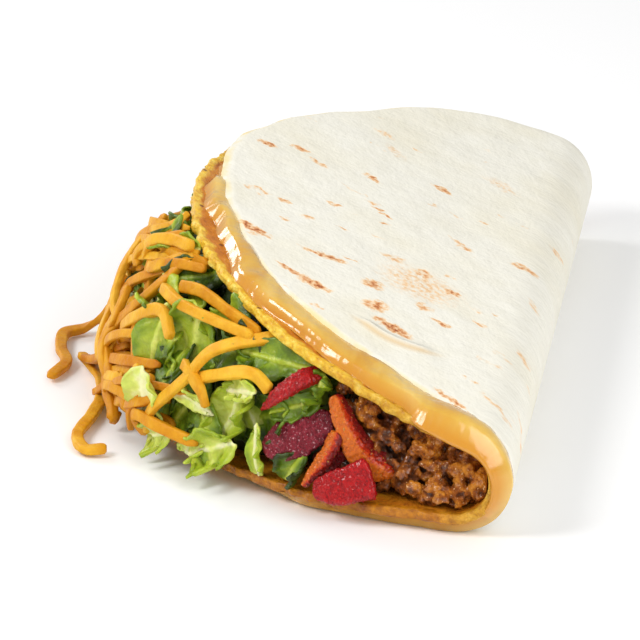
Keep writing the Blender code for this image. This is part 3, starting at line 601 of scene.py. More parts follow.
def cheese_look():
    look = Look("melted_cheese", Roughness=0.16, Specular_IOR_Level=0.5, Coat_Weight=0.5,
                Coat_Roughness=0.05, Subsurface_Weight=0.1, Subsurface_Scale=0.001,
                Subsurface_Radius=(1.0, 0.7, 0.2))
    flat = look.attribute("flat", "Vector")
    streaks = look.noise(look.stretched(flat, size=(2.5, 1, 1)), 110.0, 3.0, distortion=0.6)
    golden = look.ramp(streaks, (0.3, (206, 150, 40)), (0.5, (218, 174, 70)), (0.72, (230, 196, 112)))
    thin = look.band(look.attribute("edge"), 0.0012, 0.0001)
    look.colour(look.mix(thin, golden, (208, 142, 34)))
    look.bump((look.noise(flat, 200.0, 2.0), 0.0010))
    return look.made


def shell_look():
    """Pale and rough at the cut edge, browner at its lower rim, fried orange-brown and glazed behind."""
    look = Look("crisp_shell", Roughness=0.4, Specular_IOR_Level=0.35, Coat_Weight=0.15, Coat_Roughness=0.2)
    place = look.place()
    flat = look.attribute("flat", "Vector")
    blotches = look.noise(place, 230.0, 5.0, 0.6)
    fried = look.ramp(blotches, (0.3, (172, 92, 14)), (0.5, (206, 124, 22)), (0.7, (226, 154, 36)))
    grain = look.noise(place, 620.0, 4.0, 0.6)
    pale = look.ramp(grain, (0.3, (214, 150, 24)), (0.5, (240, 194, 50)), (0.72, (252, 226, 106)))
    brown = look.ramp(grain, (0.3, (140, 70, 4)), (0.7, (210, 136, 14)))
    lower = look.band(look.part(flat, "Y"), 0.004, -0.012)
    near = look.band(look.part(flat, "X"), 0.061, 0.071, 0.0, 0.5)
    pale = look.mix(look.maths("MAXIMUM", lower, near), pale, brown)
    wander = look.band(look.noise(place, 330.0), 0.3, 0.7, -0.0006, 0.0006)
    rim = look.band(look.maths("ADD", look.attribute("edge"), wander), 0.0017, 0.0009)
    corn = look.mix(rim, fried, pale)
    dark = look.times(look.band(look.cells(place, 330.0), 0.2, 0.1),
                      look.band(look.noise(place, 120.0), 0.46, 0.54))
    look.colour(look.mix(dark, corn, (120, 56, 14)))
    look.bump((look.noise(place, 640.0, 4.0, 0.65), 0.0006), (look.noise(place, 1900.0, 3.0), 0.0003))
    return look.made


def beef_look():
    look = Look("browned_beef", Roughness=0.34, Specular_IOR_Level=0.3, Coat_Roughness=0.04)
    place = look.place()
    wet = look.band(look.noise(place, 700.0, 3.0), 0.5, 0.58)
    look.feed(look.shader.inputs["Coat Weight"], wet)
    tone = look.tone(look.noise(place, 420.0, 5.0, 0.65), 0.28)
    body = look.ramp(tone, (0.02, (40, 14, 0)), (0.34, (98, 46, 4)), (0.64, (160, 84, 12)),
                     (0.95, (208, 130, 32)))
    # Pale fat specks, only on the lighter lumps, which also serve as painted glints
    fat_and_painted_glints = look.times(look.band(look.noise(place, 1900.0, 2.0), 0.66, 0.70), look.band(tone, 0.3, 0.6))
    look.colour(look.mix(fat_and_painted_glints, body, (252, 206, 150)))
    look.bump((look.noise(place, 1100.0, 5.0, 0.65), 0.0006), (look.noise(place, 3000.0, 3.0), 0.0003))
    return look.made


def lettuce_look():
    look = Look("torn_lettuce", Roughness=0.34, Specular_IOR_Level=0.45, Subsurface_Weight=0.25,
                Subsurface_Scale=0.001, Subsurface_Radius=(0.6, 1.0, 0.25))
    place = look.place()
    tone = look.tone(look.noise(place, 260.0, 4.0), 0.12)
    look.colour(look.ramp(tone, (0.02, (240, 240, 180)), (0.2, (214, 222, 104)), (0.42, (172, 188, 44)),
                          (0.64, (114, 142, 26)), (0.82, (60, 82, 14)), (1.0, (34, 46, 10))))
    look.bump((look.noise(place, 700.0, 4.0), 0.0004))
    return look.made


def cheddar_look():
    look = Look("grated_cheddar", Roughness=0.45, Specular_IOR_Level=0.2, Subsurface_Weight=0.05,
                Subsurface_Scale=0.001, Subsurface_Radius=(1.0, 0.6, 0.1))
    place = look.place()
    tone = look.tone(look.noise(place, 300.0, 3.0), 0.25)
    look.colour(look.ramp(tone, (0.0, (194, 115, 8)), (0.5, (216, 149, 22)), (1.0, (236, 183, 50))))
    look.bump((look.noise(place, 900.0, 4.0), 0.0003))
    return look.made


def strip_look(name, dark, mid, light, fleck_and_glint_colour, flecks):
    """A crisp strip's crumbly surface: `flecks` is the share of it that pale specks cover. They are crumbs,
    and on the red and orange strips they also serve as painted glints.
    """
    look = Look(name, Roughness=0.4, Specular_IOR_Level=0.3, Coat_Weight=0.4, Coat_Roughness=0.08)
    place = look.place()
    grain = look.noise(place, 1900.0, 4.0, 0.7)
    body = look.ramp(look.tone(grain, 0.22), (0.1, dark), (0.5, mid), (0.9, light))
    # Pale specks: crumbs, and on the red and orange strips also painted glints
    pale = look.band(look.noise(place, 2400.0, 2.0), 0.74 - flecks, 0.78 - flecks)
    look.colour(look.mix(pale, body, fleck_and_glint_colour))
    look.bump((grain, 0.0011), (look.noise(place, 4500.0, 2.0), 0.00025))
    return look.made


# Sheets
def disc_grid(outline, centre_u, centre_v, cells):
    """Flat (u, v) of a square grid drawn out to the outline, and the distance of each point to the rim."""
    line = np.linspace(-1, 1, cells + 1)
    p, q = np.meshgrid(line, line, indexing="ij")
    x = p * np.sqrt(1 - q * q / 2)
    y = q * np.sqrt(1 - p * p / 2)
    share = np.hypot(x, y)
    u_rim, v_rim = outline(np.arctan2(y, x))
    u = centre_u + share * (u_rim - centre_u)
    v = centre_v + share * (v_rim - centre_v)
    return u, v, (1 - share) * np.hypot(u_rim - centre_u, v_rim - centre_v)


# Outlines: waves as (turns, size, phase), sways as (turns, cosine share, sine share), and ragged ones as
# (fewest turns, most turns, size, seed)
SHELL_RAGGED = ((4, 20, 0.0003, 1), (45, 150, 0.00028, 2))
CHEESE_END_GAP = 0.0004
CHEESE_SET_BACK = 0.0026
CHEESE_FULLNESS = 0.8
CHEESE_WAVES = ((9, 0.0009, 0.0), (14, 0.0006, 1.0))
CHEESE_RAGGED = (18, 50, 0.0004, 3)
CHEESE_OVERHANG = 0.0011
FLOUR_EVEN = 0.997
FLOUR_SWAYS = ((1, 0.0, -0.024), (2, 0.0, -0.036), (4, 0.016, -0.016), (6, 0.0, -0.018))
FLOUR_RAGGED = (10, 40, 0.003, 4)
SET_BACK_STEEPNESS = 6

# Relief of the sheets: heights, and noise as waves per metre
RIM_NOISE = 700.0
RIM_NOISE_STEP = 0.004
RIM_FLAT_DEPTH = 0.002
BLISTER_NOISE = 230.0
OUTER_BLISTERS = 0.00022
INNER_BLISTERS = 0.00015
SHELL_RIM_SWELL = 0.0002
SHELL_SINK = 0.0001
CHEESE_SWELL = 0.0015
CHEESE_BANDS = (0.0004, 0.0032)
CHEESE_LIP = 0.55
CHEESE_UNEVEN = 0.45
CHEESE_NOISE = 75.0
BLOB_HEIGHT = 0.0012
BLOB_PLACE = (0.0735, 0.0125)
BLOB_REACH = (0.006, 0.0065)
FLOUR_WAVES = ((0.0005, 30.0, 6.0), (0.00022, 95.0, 7.0))
FLOUR_EDGE = (0.0006, 0.0009)
FLOUR_SWELL = 0.0003


def add_sheet(name, outline, centre, cells, inner, outer, rim, look, node, slot):
    """A folded sheet. inner and outer give how far outside the shell's inner face it lies; rim is
    (rows, roundness, roughness) of its cut edge."""
    u, v, edge = disc_grid(outline, *centre, cells)
    low = inner(u, v, edge)
    high = outer(u, v, edge)
    rows, roundness, roughness = rim
    rim_u, rim_v, rim_low, rim_high = (rim_loop(grid) for grid in (u, v, low, high))
    outward = unit(np.stack([rim_u - centre[0], rim_v - centre[1]], -1))
    rings = []
    flats = []
    for row in range(1, rows):
        t = row / rows
        reach = roundness * math.sin(math.pi * t)
        reach = reach + roughness * flat_fbm(rim_u, rim_v + t * RIM_NOISE_STEP, RIM_NOISE, 3, 5.0)
        ring_u = rim_u + outward[:, 0] * reach
        ring_v = rim_v + outward[:, 1] * reach
        rings.append(folded(ring_u, ring_v, rim_high + (rim_low - rim_high) * t))
        flats.append(np.stack([ring_u, ring_v, np.full_like(ring_u, t * RIM_FLAT_DEPTH)], -1))
    points, faces = closed_grid(folded(u, v, high), folded(u, v, low), rings)
    grid_flat = np.stack([u, v, np.zeros_like(u)], -1).reshape(-1, 3)
    flat = np.concatenate([grid_flat, grid_flat, *flats])
    edges = np.concatenate([edge.ravel(), edge.ravel(), np.zeros(len(rim_u) * len(rings))])
    return add_piece(name, points, faces, look, node, slot, flat=flat, edge=edges)


def shell_outline(angle):
    radius = SHELL_RADIUS
    for waves in SHELL_RAGGED:
        radius = radius + ragged(angle, *waves)
    return radius * np.cos(angle), radius * np.sin(angle) + SHELL_SHIFT


def cheese_outline(angle):
    waves = sum(size * np.sin(turns * angle + phase) for turns, size, phase in CHEESE_WAVES)
    waves = waves + ragged(angle, *CHEESE_RAGGED)
    along_flap = np.abs(np.sin(angle)) ** CHEESE_FULLNESS
    radius = SHELL_RADIUS - CHEESE_END_GAP - along_flap * (CHEESE_SET_BACK - waves)
    over = SHELL_RADIUS + CHEESE_OVERHANG + 0.4 * waves
    radius = radius + (over - radius) * over_rim(angle)
    return radius * np.cos(angle), radius * np.sin(angle) + SHELL_SHIFT


def over_rim(angle):
    """Share by which the cheese runs over the shell's rim, by angle round the disc."""
    return smooth(angle, *OVER_RIM[:2]) * (1 - smooth(angle, *OVER_RIM[2:]))


def flour_share(angle):
    """The soft tortilla's reach as a share of FLOUR_REACH: it droops at the front of the near end."""
    share = FLOUR_EVEN
    for turns, cosine, sine in FLOUR_SWAYS:
        share = share + cosine * np.cos(turns * angle) + sine * np.sin(turns * angle)
    set_back = FLOUR_SET_BACK * np.clip(-SET_BACK_STEEPNESS * np.sin(angle), 0, 1)
    return share - set_back + ragged(angle, *FLOUR_RAGGED)


def flour_outline(angle):
    share = flour_share(angle)
    return FLOUR_SHIFT + FLOUR_REACH[0] * share * np.cos(angle), FLOUR_REACH[1] * share * np.sin(angle)


def beyond_flour(u, v):
    """How far flat (u, v) lies outside the soft tortilla's outline, in metres."""
    x = (u - FLOUR_SHIFT) / FLOUR_REACH[0]
    y = v / FLOUR_REACH[1]
    return (np.hypot(x, y) - flour_share(np.arctan2(y, x))) * FLOUR_REACH[1]


def add_shell():
    def outer(u, v, edge):
        blisters = OUTER_BLISTERS * flat_fbm(u, v, BLISTER_NOISE, 3, 1.0)
        return SHELL_THICKNESS - SHELL_SINK + SHELL_RIM_SWELL * smooth(edge, 0.0022, 0.0004) + blisters

    def inner(u, v, edge):
        return INNER_BLISTERS * flat_fbm(u, v, BLISTER_NOISE, 3, 2.0) - SHELL_SINK

    add_sheet("crisp_shell", shell_outline, (0.0, SHELL_SHIFT), SHELL_CELLS, inner, outer,
              (6, 0.0002, 0.00035), shell_look(), "corn_shell", "corn_shell")


def cheese_swell(u, v, edge, beyond):
    """Height of the cheese's swell: rounded at its lip, fuller where more of it shows, with the blob."""
    least, full = CHEESE_BANDS
    band = np.maximum(edge + np.maximum(beyond, 0), least)
    lip = np.clip(edge / (CHEESE_LIP * band), 0, 1)
    uneven = 1 + CHEESE_UNEVEN * flat_fbm(u, v, CHEESE_NOISE, 2, 3.0)
    along = (u - BLOB_PLACE[0]) / BLOB_REACH[0]
    across = (v - BLOB_PLACE[1]) / BLOB_REACH[1]
    blob = np.exp(-along ** 2 - across ** 2)
    swell = CHEESE_SWELL * np.minimum(band / full, 1) * uneven + BLOB_HEIGHT * blob
    return swell * np.sqrt(1 - (1 - lip) ** 2)


def add_cheese():
    """It shows from the soft tortilla's edge to near the shell's rim: one rounded swell that thins outwards,
    fattest in a blob at the near end of the upper flap."""
    def outer(u, v, edge):
        beyond = beyond_flour(u, v)
        shown = smooth(beyond, -0.0012, 0.0002)
        rise = CHEESE_OUT + CHEESE_THICKNESS - SHELL_THICKNESS
        level = SHELL_THICKNESS + rise * smooth(edge, -0.0002, 0.0008)
        table = FLOUR_OUT + FLOUR_THICKNESS - 0.0001 + 0.004 * smooth(v, -HALF_ARC, -0.4 * HALF_ARC)
        return np.minimum(level + shown * cheese_swell(u, v, edge, beyond), table)

    def inner(u, v, edge):
        over = over_rim(np.arctan2(v - SHELL_SHIFT, u)) * smooth(edge, 0.0016, 0.0009)
        return SHELL_THICKNESS - 0.0002 - (SHELL_THICKNESS - 0.0006) * over

    add_sheet("melted_cheese", cheese_outline, (0.0, SHELL_SHIFT), CHEESE_CELLS, inner, outer,
              (4, 0.0003, 0.0001), cheese_look(), "cheese_sauce", "cheese_sauce")


def flour_lift(u, v):
    """Soft waves of the upper flap, and the raised crease near its front."""
    waves = sum(size * flat_fbm(u, v, scale, 2, seed) for size, scale, seed in FLOUR_WAVES)
    upper = smooth(v, HALF_ARC, HALF_ARC + 0.015)
    u, v = u - CREASE_PLACE[0], v - CREASE_PLACE[1]
    away = np.hypot(u, v)
    along = (u * math.cos(CREASE_TURN) + v * math.sin(CREASE_TURN)) / away
    line = np.exp(-((away - CREASE_RADIUS) / CREASE_WIDTH) ** 2)
    return upper * (waves + CREASE_HEIGHT * line * smooth(along, *CREASE_ENDS))


def add_flour():
    def outer(u, v, edge):
        drop, reach = FLOUR_EDGE
        rounded = drop * (1 - np.sqrt(1 - (1 - np.clip(edge / reach, 0, 1)) ** 2))
        swell = FLOUR_SWELL * smooth(v, 0.0, HALF_ARC)
        return FLOUR_OUT + FLOUR_THICKNESS + swell - rounded + flour_lift(u, v)

    def inner(u, v, edge):
        return FLOUR_OUT + flour_lift(u, v)

    add_sheet("soft_tortilla", flour_outline, (FLOUR_SHIFT, 0.0), FLOUR_CELLS, inner, outer,
              (5, 0.0006, 0.0001), flour_look(), "flour_tortilla", "flour_tortilla")


# Beef
HOLLOW_START = -0.005
HOLLOW_SPAN = 0.006
BEEF_SPLIT = 0.25
BEEF_BACK_ANGLE = 1.25
BLOCK_CUTS = 14
BLOCK_DEPTH = 0.0032
BLOCK_SHARE = 0.9
END_SHARE = 0.84
CRUMB_RADII = (0.0010, 0.0025)
CRUMB_START = 0.0012
CRUMB_PITCH = 0.0018
CRUMB_JITTER = 0.001
CRUMB_RISE_JITTER = 0.08
CRUMB_SINK = 0.5
CRUMB_PROUD = (-0.0032, 0.0012)
CRUMB_STRETCH = (0.7, 1.2)
CRUMB_LUMPS = 0.8
CRUMB_NOISE = 420.0
BEEF_CRAGS = ((0.00055, 620.0, 3, 4.0), (0.00022, 1700.0, 2, 5.0))
BEEF_DRAW = 5


def beef_recess(y, height):
    """How far the beef stays behind the shell's rim: more at the top."""
    low, high = BEEF_RECESS
    return low + (high - low) * height


def beef_hollow(y, height):
    """How much deeper it lies behind the strips, most of all near the lower flap."""
    return BEEF_HOLLOW * np.clip((HOLLOW_START - y) / HOLLOW_SPAN, 0, 1) * (1.1 - 0.8 * height)


def beef_reach(y, height):
    return rim_x(y, height) - beef_recess(y, height) - beef_hollow(y, height)


def beef_block(start, stop):
    """A block of the beef's section. It spans the shares `start` to `stop` of the way to the near end."""
    def place(a, b, c):
        y = (WALL_Y + WALL_HALF_GAP) * (BEEF_SPLIT - c) / (1 + BEEF_SPLIT)
        if c >= BEEF_SPLIT:
            y = (FOLD_RADIUS - CLEARANCE) * math.sin((c - BEEF_SPLIT) / (1 - BEEF_SPLIT) * BEEF_BACK_ANGLE)
        height = (b + 1) / 2
        low = ground(y) + CLEARANCE
        z = low + (ceiling(y) - CLEARANCE - low) * height
        share = start + (stop - start) * (a + 1) / 2
        return Vector(((beef_reach(y, height) - BLOCK_DEPTH) * share, FOLD_Y + y, z))

    return moved_cube(BLOCK_CUTS, place)


def beef_crumb(draw, end, row, column, sphere):
    """Points of one craggy crumb over an end face, or None where the shell leaves no room for it."""
    radius = draw.uniform(*CRUMB_RADII)
    y = WALL_Y + CRUMB_START + row * CRUMB_PITCH + draw.uniform(-CRUMB_JITTER, CRUMB_JITTER)
    height = (column + 0.5) / CRUMB_COLUMNS + draw.uniform(-CRUMB_RISE_JITTER, CRUMB_RISE_JITTER)
    height = min(max(height, 0.0), 1.0)
    low = ground(y) + CLEARANCE + radius * CRUMB_SINK
    high = ceiling(y) - CLEARANCE - radius * CRUMB_SINK
    if high < low:
        return None
    x = beef_reach(y, height) - radius * CRUMB_SINK + draw.uniform(*CRUMB_PROUD)
    centre = np.array((end * x, FOLD_Y + y, low + (high - low) * height))
    turn = np.array(Matrix.Rotation(draw.uniform(0, 6), 3, (draw.random(), draw.random(), 0.5)))
    stretch = np.array([draw.uniform(*CRUMB_STRETCH) for _ in range(3)])
    lumps = 1 + CRUMB_LUMPS * fbm(sphere * radius, CRUMB_NOISE, 3, draw.uniform(0, 90))
    return (sphere * stretch * lumps[:, None] * radius) @ turn.T + centre


def beef_end(draw, end):
    """Craggy crumbs of uneven size that have grown together over one end face, 1 near and -1 far."""
    crumbs = Batch()
    crumbs.add(*beef_block(END_SHARE * end, end), 0.0)
    ball = bmesh.new()
    bmesh.ops.create_icosphere(ball, subdivisions=2, radius=1)
    sphere, triangles = taken(ball)
    for row in range(CRUMB_ROWS):
        for column in range(CRUMB_COLUMNS):
            points = beef_crumb(draw, end, row, column, sphere)
            if points is not None:
                crumbs.add(points, triangles, 0.0)
    points, faces, normals = remeshed(crumbs, BEEF_VOXEL)
    crags = sum(size * fbm(points, scale, octaves, seed) for size, scale, octaves, seed in BEEF_CRAGS)
    points = points + normals * crags[:, None]
    y = np.minimum(points[:, 1] - FOLD_Y, FOLD_RADIUS - CLEARANCE)
    low, high = ground(y) + 0.0002, ceiling(y) - 0.0003
    points[:, 1] = y + FOLD_Y
    points[:, 2] = np.clip(points[:, 2], low, high)
    height = (points[:, 2] - low) / (high - low)
    depth = rim_x(y, height) - beef_recess(y, height) - np.abs(points[:, 0])
    # Painted shade: the tone darkens the deeper a point lies behind the shell's rim, towards the bottom, and
    # in the hollows of the crags
    tone = np.clip(0.68 - depth / 0.0105 - 0.2 * (1 - height) ** 2, 0.08, 0.8)
    return points, faces, tone + crags / 0.0014


def add_beef():
    """A plain block, with crumbs over both end faces."""
    batch = Batch()
    batch.add(*beef_block(-BLOCK_SHARE, BLOCK_SHARE), 0.1)
    draw = random.Random(BEEF_DRAW)
    for end in (1, -1):
        batch.add(*beef_end(draw, end))
    batch.piece("browned_beef", beef_look(), "ground_beef", "ground_beef")


# Lettuce
def leaf(draw, length, width, cup, frill, roll, pale, deep, cells=(22, 15)):
    """A torn leaf: middle points with x along, y across and z out, and tones from pale rib to deep edge."""
    p, q = np.meshgrid(np.linspace(-1, 1, cells[0]), np.linspace(-1, 1, cells[1]), indexing="ij")
    phase = draw.uniform(0, 6)
    x = p * length / 2 * (1 - 0.25 * q * q + 0.07 * np.sin(4 * q + phase) + 0.03 * np.sin(11 * q + phase))
    y = q * width / 2 * (1 - 0.35 * p * p + 0.08 * np.sin(5 * p + 2 * phase) + 0.03 * np.sin(13 * p + phase))
    z = cup * width * (q * q - 0.3) + 0.12 * length * np.sin(1.4 * p + phase)
    loose = np.clip((q + 0.1) / 1.1, 0, 1) ** 1.4 + 0.5 * np.clip((np.abs(p) - 0.5) / 0.5, 0, 1) ** 2
    z = z + frill * loose * (np.sin(7.5 * p + phase) + 0.5 * np.sin(14 * p + 2.1 * phase))
    y = y + 0.5 * frill * loose * np.cos(7.5 * p + phase)
    if roll:
        start = 0.45 * width / 2
        over = np.maximum(y - start, 0)
        radius = (width / 2 - start) / abs(roll)
        y = np.where(y > start, start + radius * np.sin(over / radius), y)
        z = z + np.sign(roll) * radius * (1 - np.cos(over / radius))
    rib = np.exp(-(y / (0.05 * width)) ** 2)
    veins = np.maximum(np.cos((x - 0.9 * np.abs(y)) * 2 * math.pi / 0.0026), 0) ** 5
    points = np.stack([x, y, z], -1)
    crinkle = 0.00045 * fbm(points + phase, 260.0, 3)
    points[..., 2] += 0.00035 * rib + 0.00011 * veins + crinkle
    tone = pale + (deep - pale) * np.clip(0.1 + 0.95 * np.abs(q) + 0.35 * crinkle / 0.00045, 0, 1)
    tone = tone - 0.22 * rib - 0.05 * veins
    return points, np.clip(tone, 0, 1)


def heap_frame(angle, tilt, spin):
    """Axes of a piece that faces out of the heap: along, across and out, tilted and spun in degrees."""
    along = Vector((-math.sin(angle), -math.cos(angle), 0))
    normal = Matrix.Rotation(math.radians(tilt), 3, along) @ heap_away(angle)
    first = Matrix.Rotation(math.radians(spin), 3, normal) @ along
    return np.array((first, normal.cross(first), normal))


# Leaves that stand out: (degrees, height, lift in mm) on the heap, (length, width) in mm, the degrees they
# face, (tilt, spin) in degrees, then cup, frill in mm, roll, and the tones of rib and edge
LEADING_LEAVES = (
    ((60, 0.52, 3.8), (15, 10), 38, (-10, 80), 0.10, 0.3, 0.0, 0.40, 0.60),
    ((54, 0.66, 3.8), (15, 14), 36, (6, 84), 0.12, 0.6, 0.0, 0.40, 0.60),
    ((60, 0.78, 3.2), (12, 9), 42, (20, 10), 0.14, 0.6, 0.0, 0.38, 0.58),
    ((54.5, 0.22, 6.4), (13, 9), 38, (-8, 82), 0.16, 0.4, 0.0, 0.04, 0.28),
    ((41.5, 0.09, 4.2), (11.5, 8.5), 34, (-14, 25), 0.22, 1.7, 2.0, 0.20, 0.48),
    ((44.5, 0.02, 5.0), (8, 5), 36, (-20, 40), 0.25, 1.0, 2.6, 0.06, 0.36),
    ((42, 0.33, 4.0), (14, 9), 34, (0, 70), 0.20, 1.7, 1.6, 0.26, 0.50),
    ((41.5, 0.58, 4.8), (8, 5), 32, (10, 8), 0.20, 1.0, 3.0, 0.06, 0.34),
    ((47.5, 0.37, 4.8), (9, 3.4), 38, (0, 160), 0.20, 0.5, 1.2, 0.02, 0.26),
    ((51, 0.04, 5.0), (10, 6), 50, (-30, 20), 0.20, 1.4, 1.8, 0.22, 0.46),
    ((76, 0.76, 3.0), (7, 5.5), 36, (5, 60), 0.12, 0.3, 0.0, 0.20, 0.42),
    ((69, 0.97, 3.6), (8, 6), 45, (20, 15), 0.25, 0.5, 0.0, 0.34, 0.56),
    ((69, 0.47, 5.2), (9, 4), 46, (0, 20), 0.25, 0.4, 0.0, 0.42, 0.64),
    ((40.5, 0.86, 2.2), (15, 7), 38, (20, 5), 0.18, 0.9, 0.0, 0.54, 0.76),
    ((33, 0.80, 2.6), (8, 6), 30, (20, 60), 0.30, 1.4, 2.2, 0.40, 0.74),
    ((35, 0.17, 2.6), (10, 3.4), 30, (-8, 96), 0.25, 0.6, 1.4, 0.12, 0.50),
    ((29, 0.12, 1.6), (7, 6.5), 26, (-5, 60), 0.35, 0.4, 3.2, 0.50, 0.94),
    ((34, 0.63, 2.2), (9, 5), 30, (5, 25), 0.20, 0.3, 0.0, 0.58, 0.76),
    ((64, 0.90, 2.4), (12, 8), 42, (20, 30), 0.22, 0.8, 0.0, 0.66, 0.90),
    ((46, 0.72, 1.8), (15, 11), 36, (14, 110), 0.28, 0.9, 0.0, 0.68, 0.96),
    ((50, 0.30, 3.0), (15, 10), 40, (-6, 60), 0.20, 0.9, 0.0, 0.50, 0.76),
    ((38, 0.42, 1.4), (14, 10), 34, (0, 20), 0.22, 1.0, 0.0, 0.62, 0.90),
    ((79, 0.60, 1.2), (14, 10), 64, (0, 60), 0.20, 0.6, 0.0, 0.56, 0.84),
    ((84, 0.36, 1.0), (14, 10), 74, (0, 20), 0.20, 0.6, 0.0, 0.50, 0.80),
)
FRONT_LEAVES = 54
FRONT_LEAF_LIFTS = (-0.0005, 0.0026)
FRONT_LEAF_LENGTHS = (0.011, 0.018)
FRONT_FRILLS = (0.0005, 0.0016)
END_LEAVES = 12
LEAF_THICKNESS = 0.0005
LEAF_MARGIN = 0.0006
LEADING_CELLS = (34, 24)
STRIPS_SPAN = math.radians(5.0)
END_LIFT = {1: (-0.0030, -0.0012), -1: (-0.0010, 0.0010)}


def end_point(side, depth, height, lift):
    """On the lettuce's end face, side 1 near and -1 far; depth 0 is the beef's wall and 1 the front."""
    low = FLOOR + CLEARANCE
    high = ceiling(WALL_Y) - CLEARANCE
    wall = Vector((side * rim_x(WALL_Y, 0.5) * LETTUCE_WIDTH, FOLD_Y + WALL_Y, low + (high - low) * height))
    front = heap_point(HEAP_NEAR if side > 0 else HEAP_FAR, height, 0.0)
    return wall.lerp(front, depth) + Vector((side * lift, 0, 0))


END_LEAF_LENGTHS = (0.009, 0.014)
END_FRILLS = (0.0004, 0.0012)
LEAF_ASPECTS = (0.5, 0.8)
LEAF_CUPS = (-0.25, 0.3)
LEADING_DRAW = 21
LOOSE_DRAW = 34
HEART_CUTS = 24
HEART_LIFT = -0.0030
HEART_NOISE = 260
HEART_LUMPS = 0.0016
# The heart's tone is the darkest green: painted shade for the gaps between the leaves
HEART_PAINTED_SHADE_TONE = 0.97


def add_leaf(batch, draw, origin, axes, *shape):
    """A leaf about `origin`, kept between the flaps."""
    middle, tone = leaf(draw, *shape)
    middle = tucked(middle @ axes + np.array(origin), LEAF_MARGIN)
    batch.add(*slab(middle, LEAF_THICKNESS), np.concatenate([tone.ravel(), tone.ravel()]))


def add_leading_leaves(batch):
    draw = random.Random(LEADING_DRAW)
    for place, (length, width), facing, turn, cup, frill, roll, pale, deep in LEADING_LEAVES:
        angle, height, lift = place
        origin = heap_point(math.radians(angle), height, lift / 1000)
        axes = heap_frame(math.radians(facing), *turn)
        add_leaf(batch, draw, origin, axes, length / 1000, width / 1000, cup, frill / 1000, roll, pale, deep,
                 LEADING_CELLS)


def add_front_leaves(batch, draw):
    for _ in range(FRONT_LEAVES):
        angle = draw.uniform(HEAP_NEAR + STRIPS_SPAN, HEAP_FAR)
        behind = far_share(angle)
        height = draw.uniform(0.06, 0.94 - 0.12 * behind)
        origin = heap_point(angle, height, draw.uniform(*FRONT_LEAF_LIFTS) - 0.0012 * behind)
        axes = heap_frame(angle, draw.uniform(-45, 45) * (1 - 0.6 * behind), draw.uniform(0, 360))
        length = draw.uniform(*FRONT_LEAF_LENGTHS)
        pale = draw.uniform(0.15, 0.6)
        add_leaf(batch, draw, origin, axes, length, length * draw.uniform(*LEAF_ASPECTS),
                 draw.uniform(*LEAF_CUPS), draw.uniform(*FRONT_FRILLS), draw.choice((0, 0, 1.5, 2.2)), pale,
                 pale + draw.uniform(0.2, 0.35))


def add_end_leaves(batch, draw, side):
    for _ in range(END_LEAVES):
        depth, height = draw.uniform(0.1, 1.0), draw.uniform(0.15, 0.85)
        origin = end_point(side, depth, height, draw.uniform(*END_LIFT[side]))
        axes = heap_frame(math.radians(90 - side * 70), draw.uniform(-20, 20), draw.uniform(0, 360))
        length = draw.uniform(*END_LEAF_LENGTHS)
        pale = draw.uniform(0.3, 0.7)
        add_leaf(batch, draw, origin, axes, length, length * draw.uniform(*LEAF_ASPECTS),
                 draw.uniform(*LEAF_CUPS), draw.uniform(*END_FRILLS), draw.choice((0, 1.6)), pale,
                 pale + 0.25)


def add_heart(look):
    """The heap's core behind the leaves, in the darkest tone: painted shade seen through the gaps between
    them.
    """
    def place(a, b, c):
        height = (b + 1) / 2
        front = heap_point(HEAP_FAR + (HEAP_NEAR - HEAP_FAR) * (a + 1) / 2, height, HEART_LIFT)
        low = FLOOR + CLEARANCE
        high = ceiling(WALL_Y) - CLEARANCE
        side_x = rim_x(WALL_Y, 0.5) * LETTUCE_WIDTH * math.sin(a * math.pi / 2)
        wall = Vector((side_x, FOLD_Y + WALL_Y - WALL_HALF_GAP, low + (high - low) * height))
        point = wall.lerp(front, (c + 1) / 2)
        return point + noise.noise_vector(point * HEART_NOISE) * HEART_LUMPS * (1 - b * b)

    heart = Batch()
    heart.add(*moved_cube(HEART_CUTS, place), HEART_PAINTED_SHADE_TONE)
    heart.piece("lettuce_heart", look, "lettuce", "lettuce")


def add_lettuce():
    look = lettuce_look()
    batch = Batch()
    add_leading_leaves(batch)
    draw = random.Random(LOOSE_DRAW)
    add_front_leaves(batch, draw)
    for side in (1, -1):
        add_end_leaves(batch, draw, side)
    batch.piece("lettuce_leaves", look, "lettuce", "lettuce")
    add_heart(look)


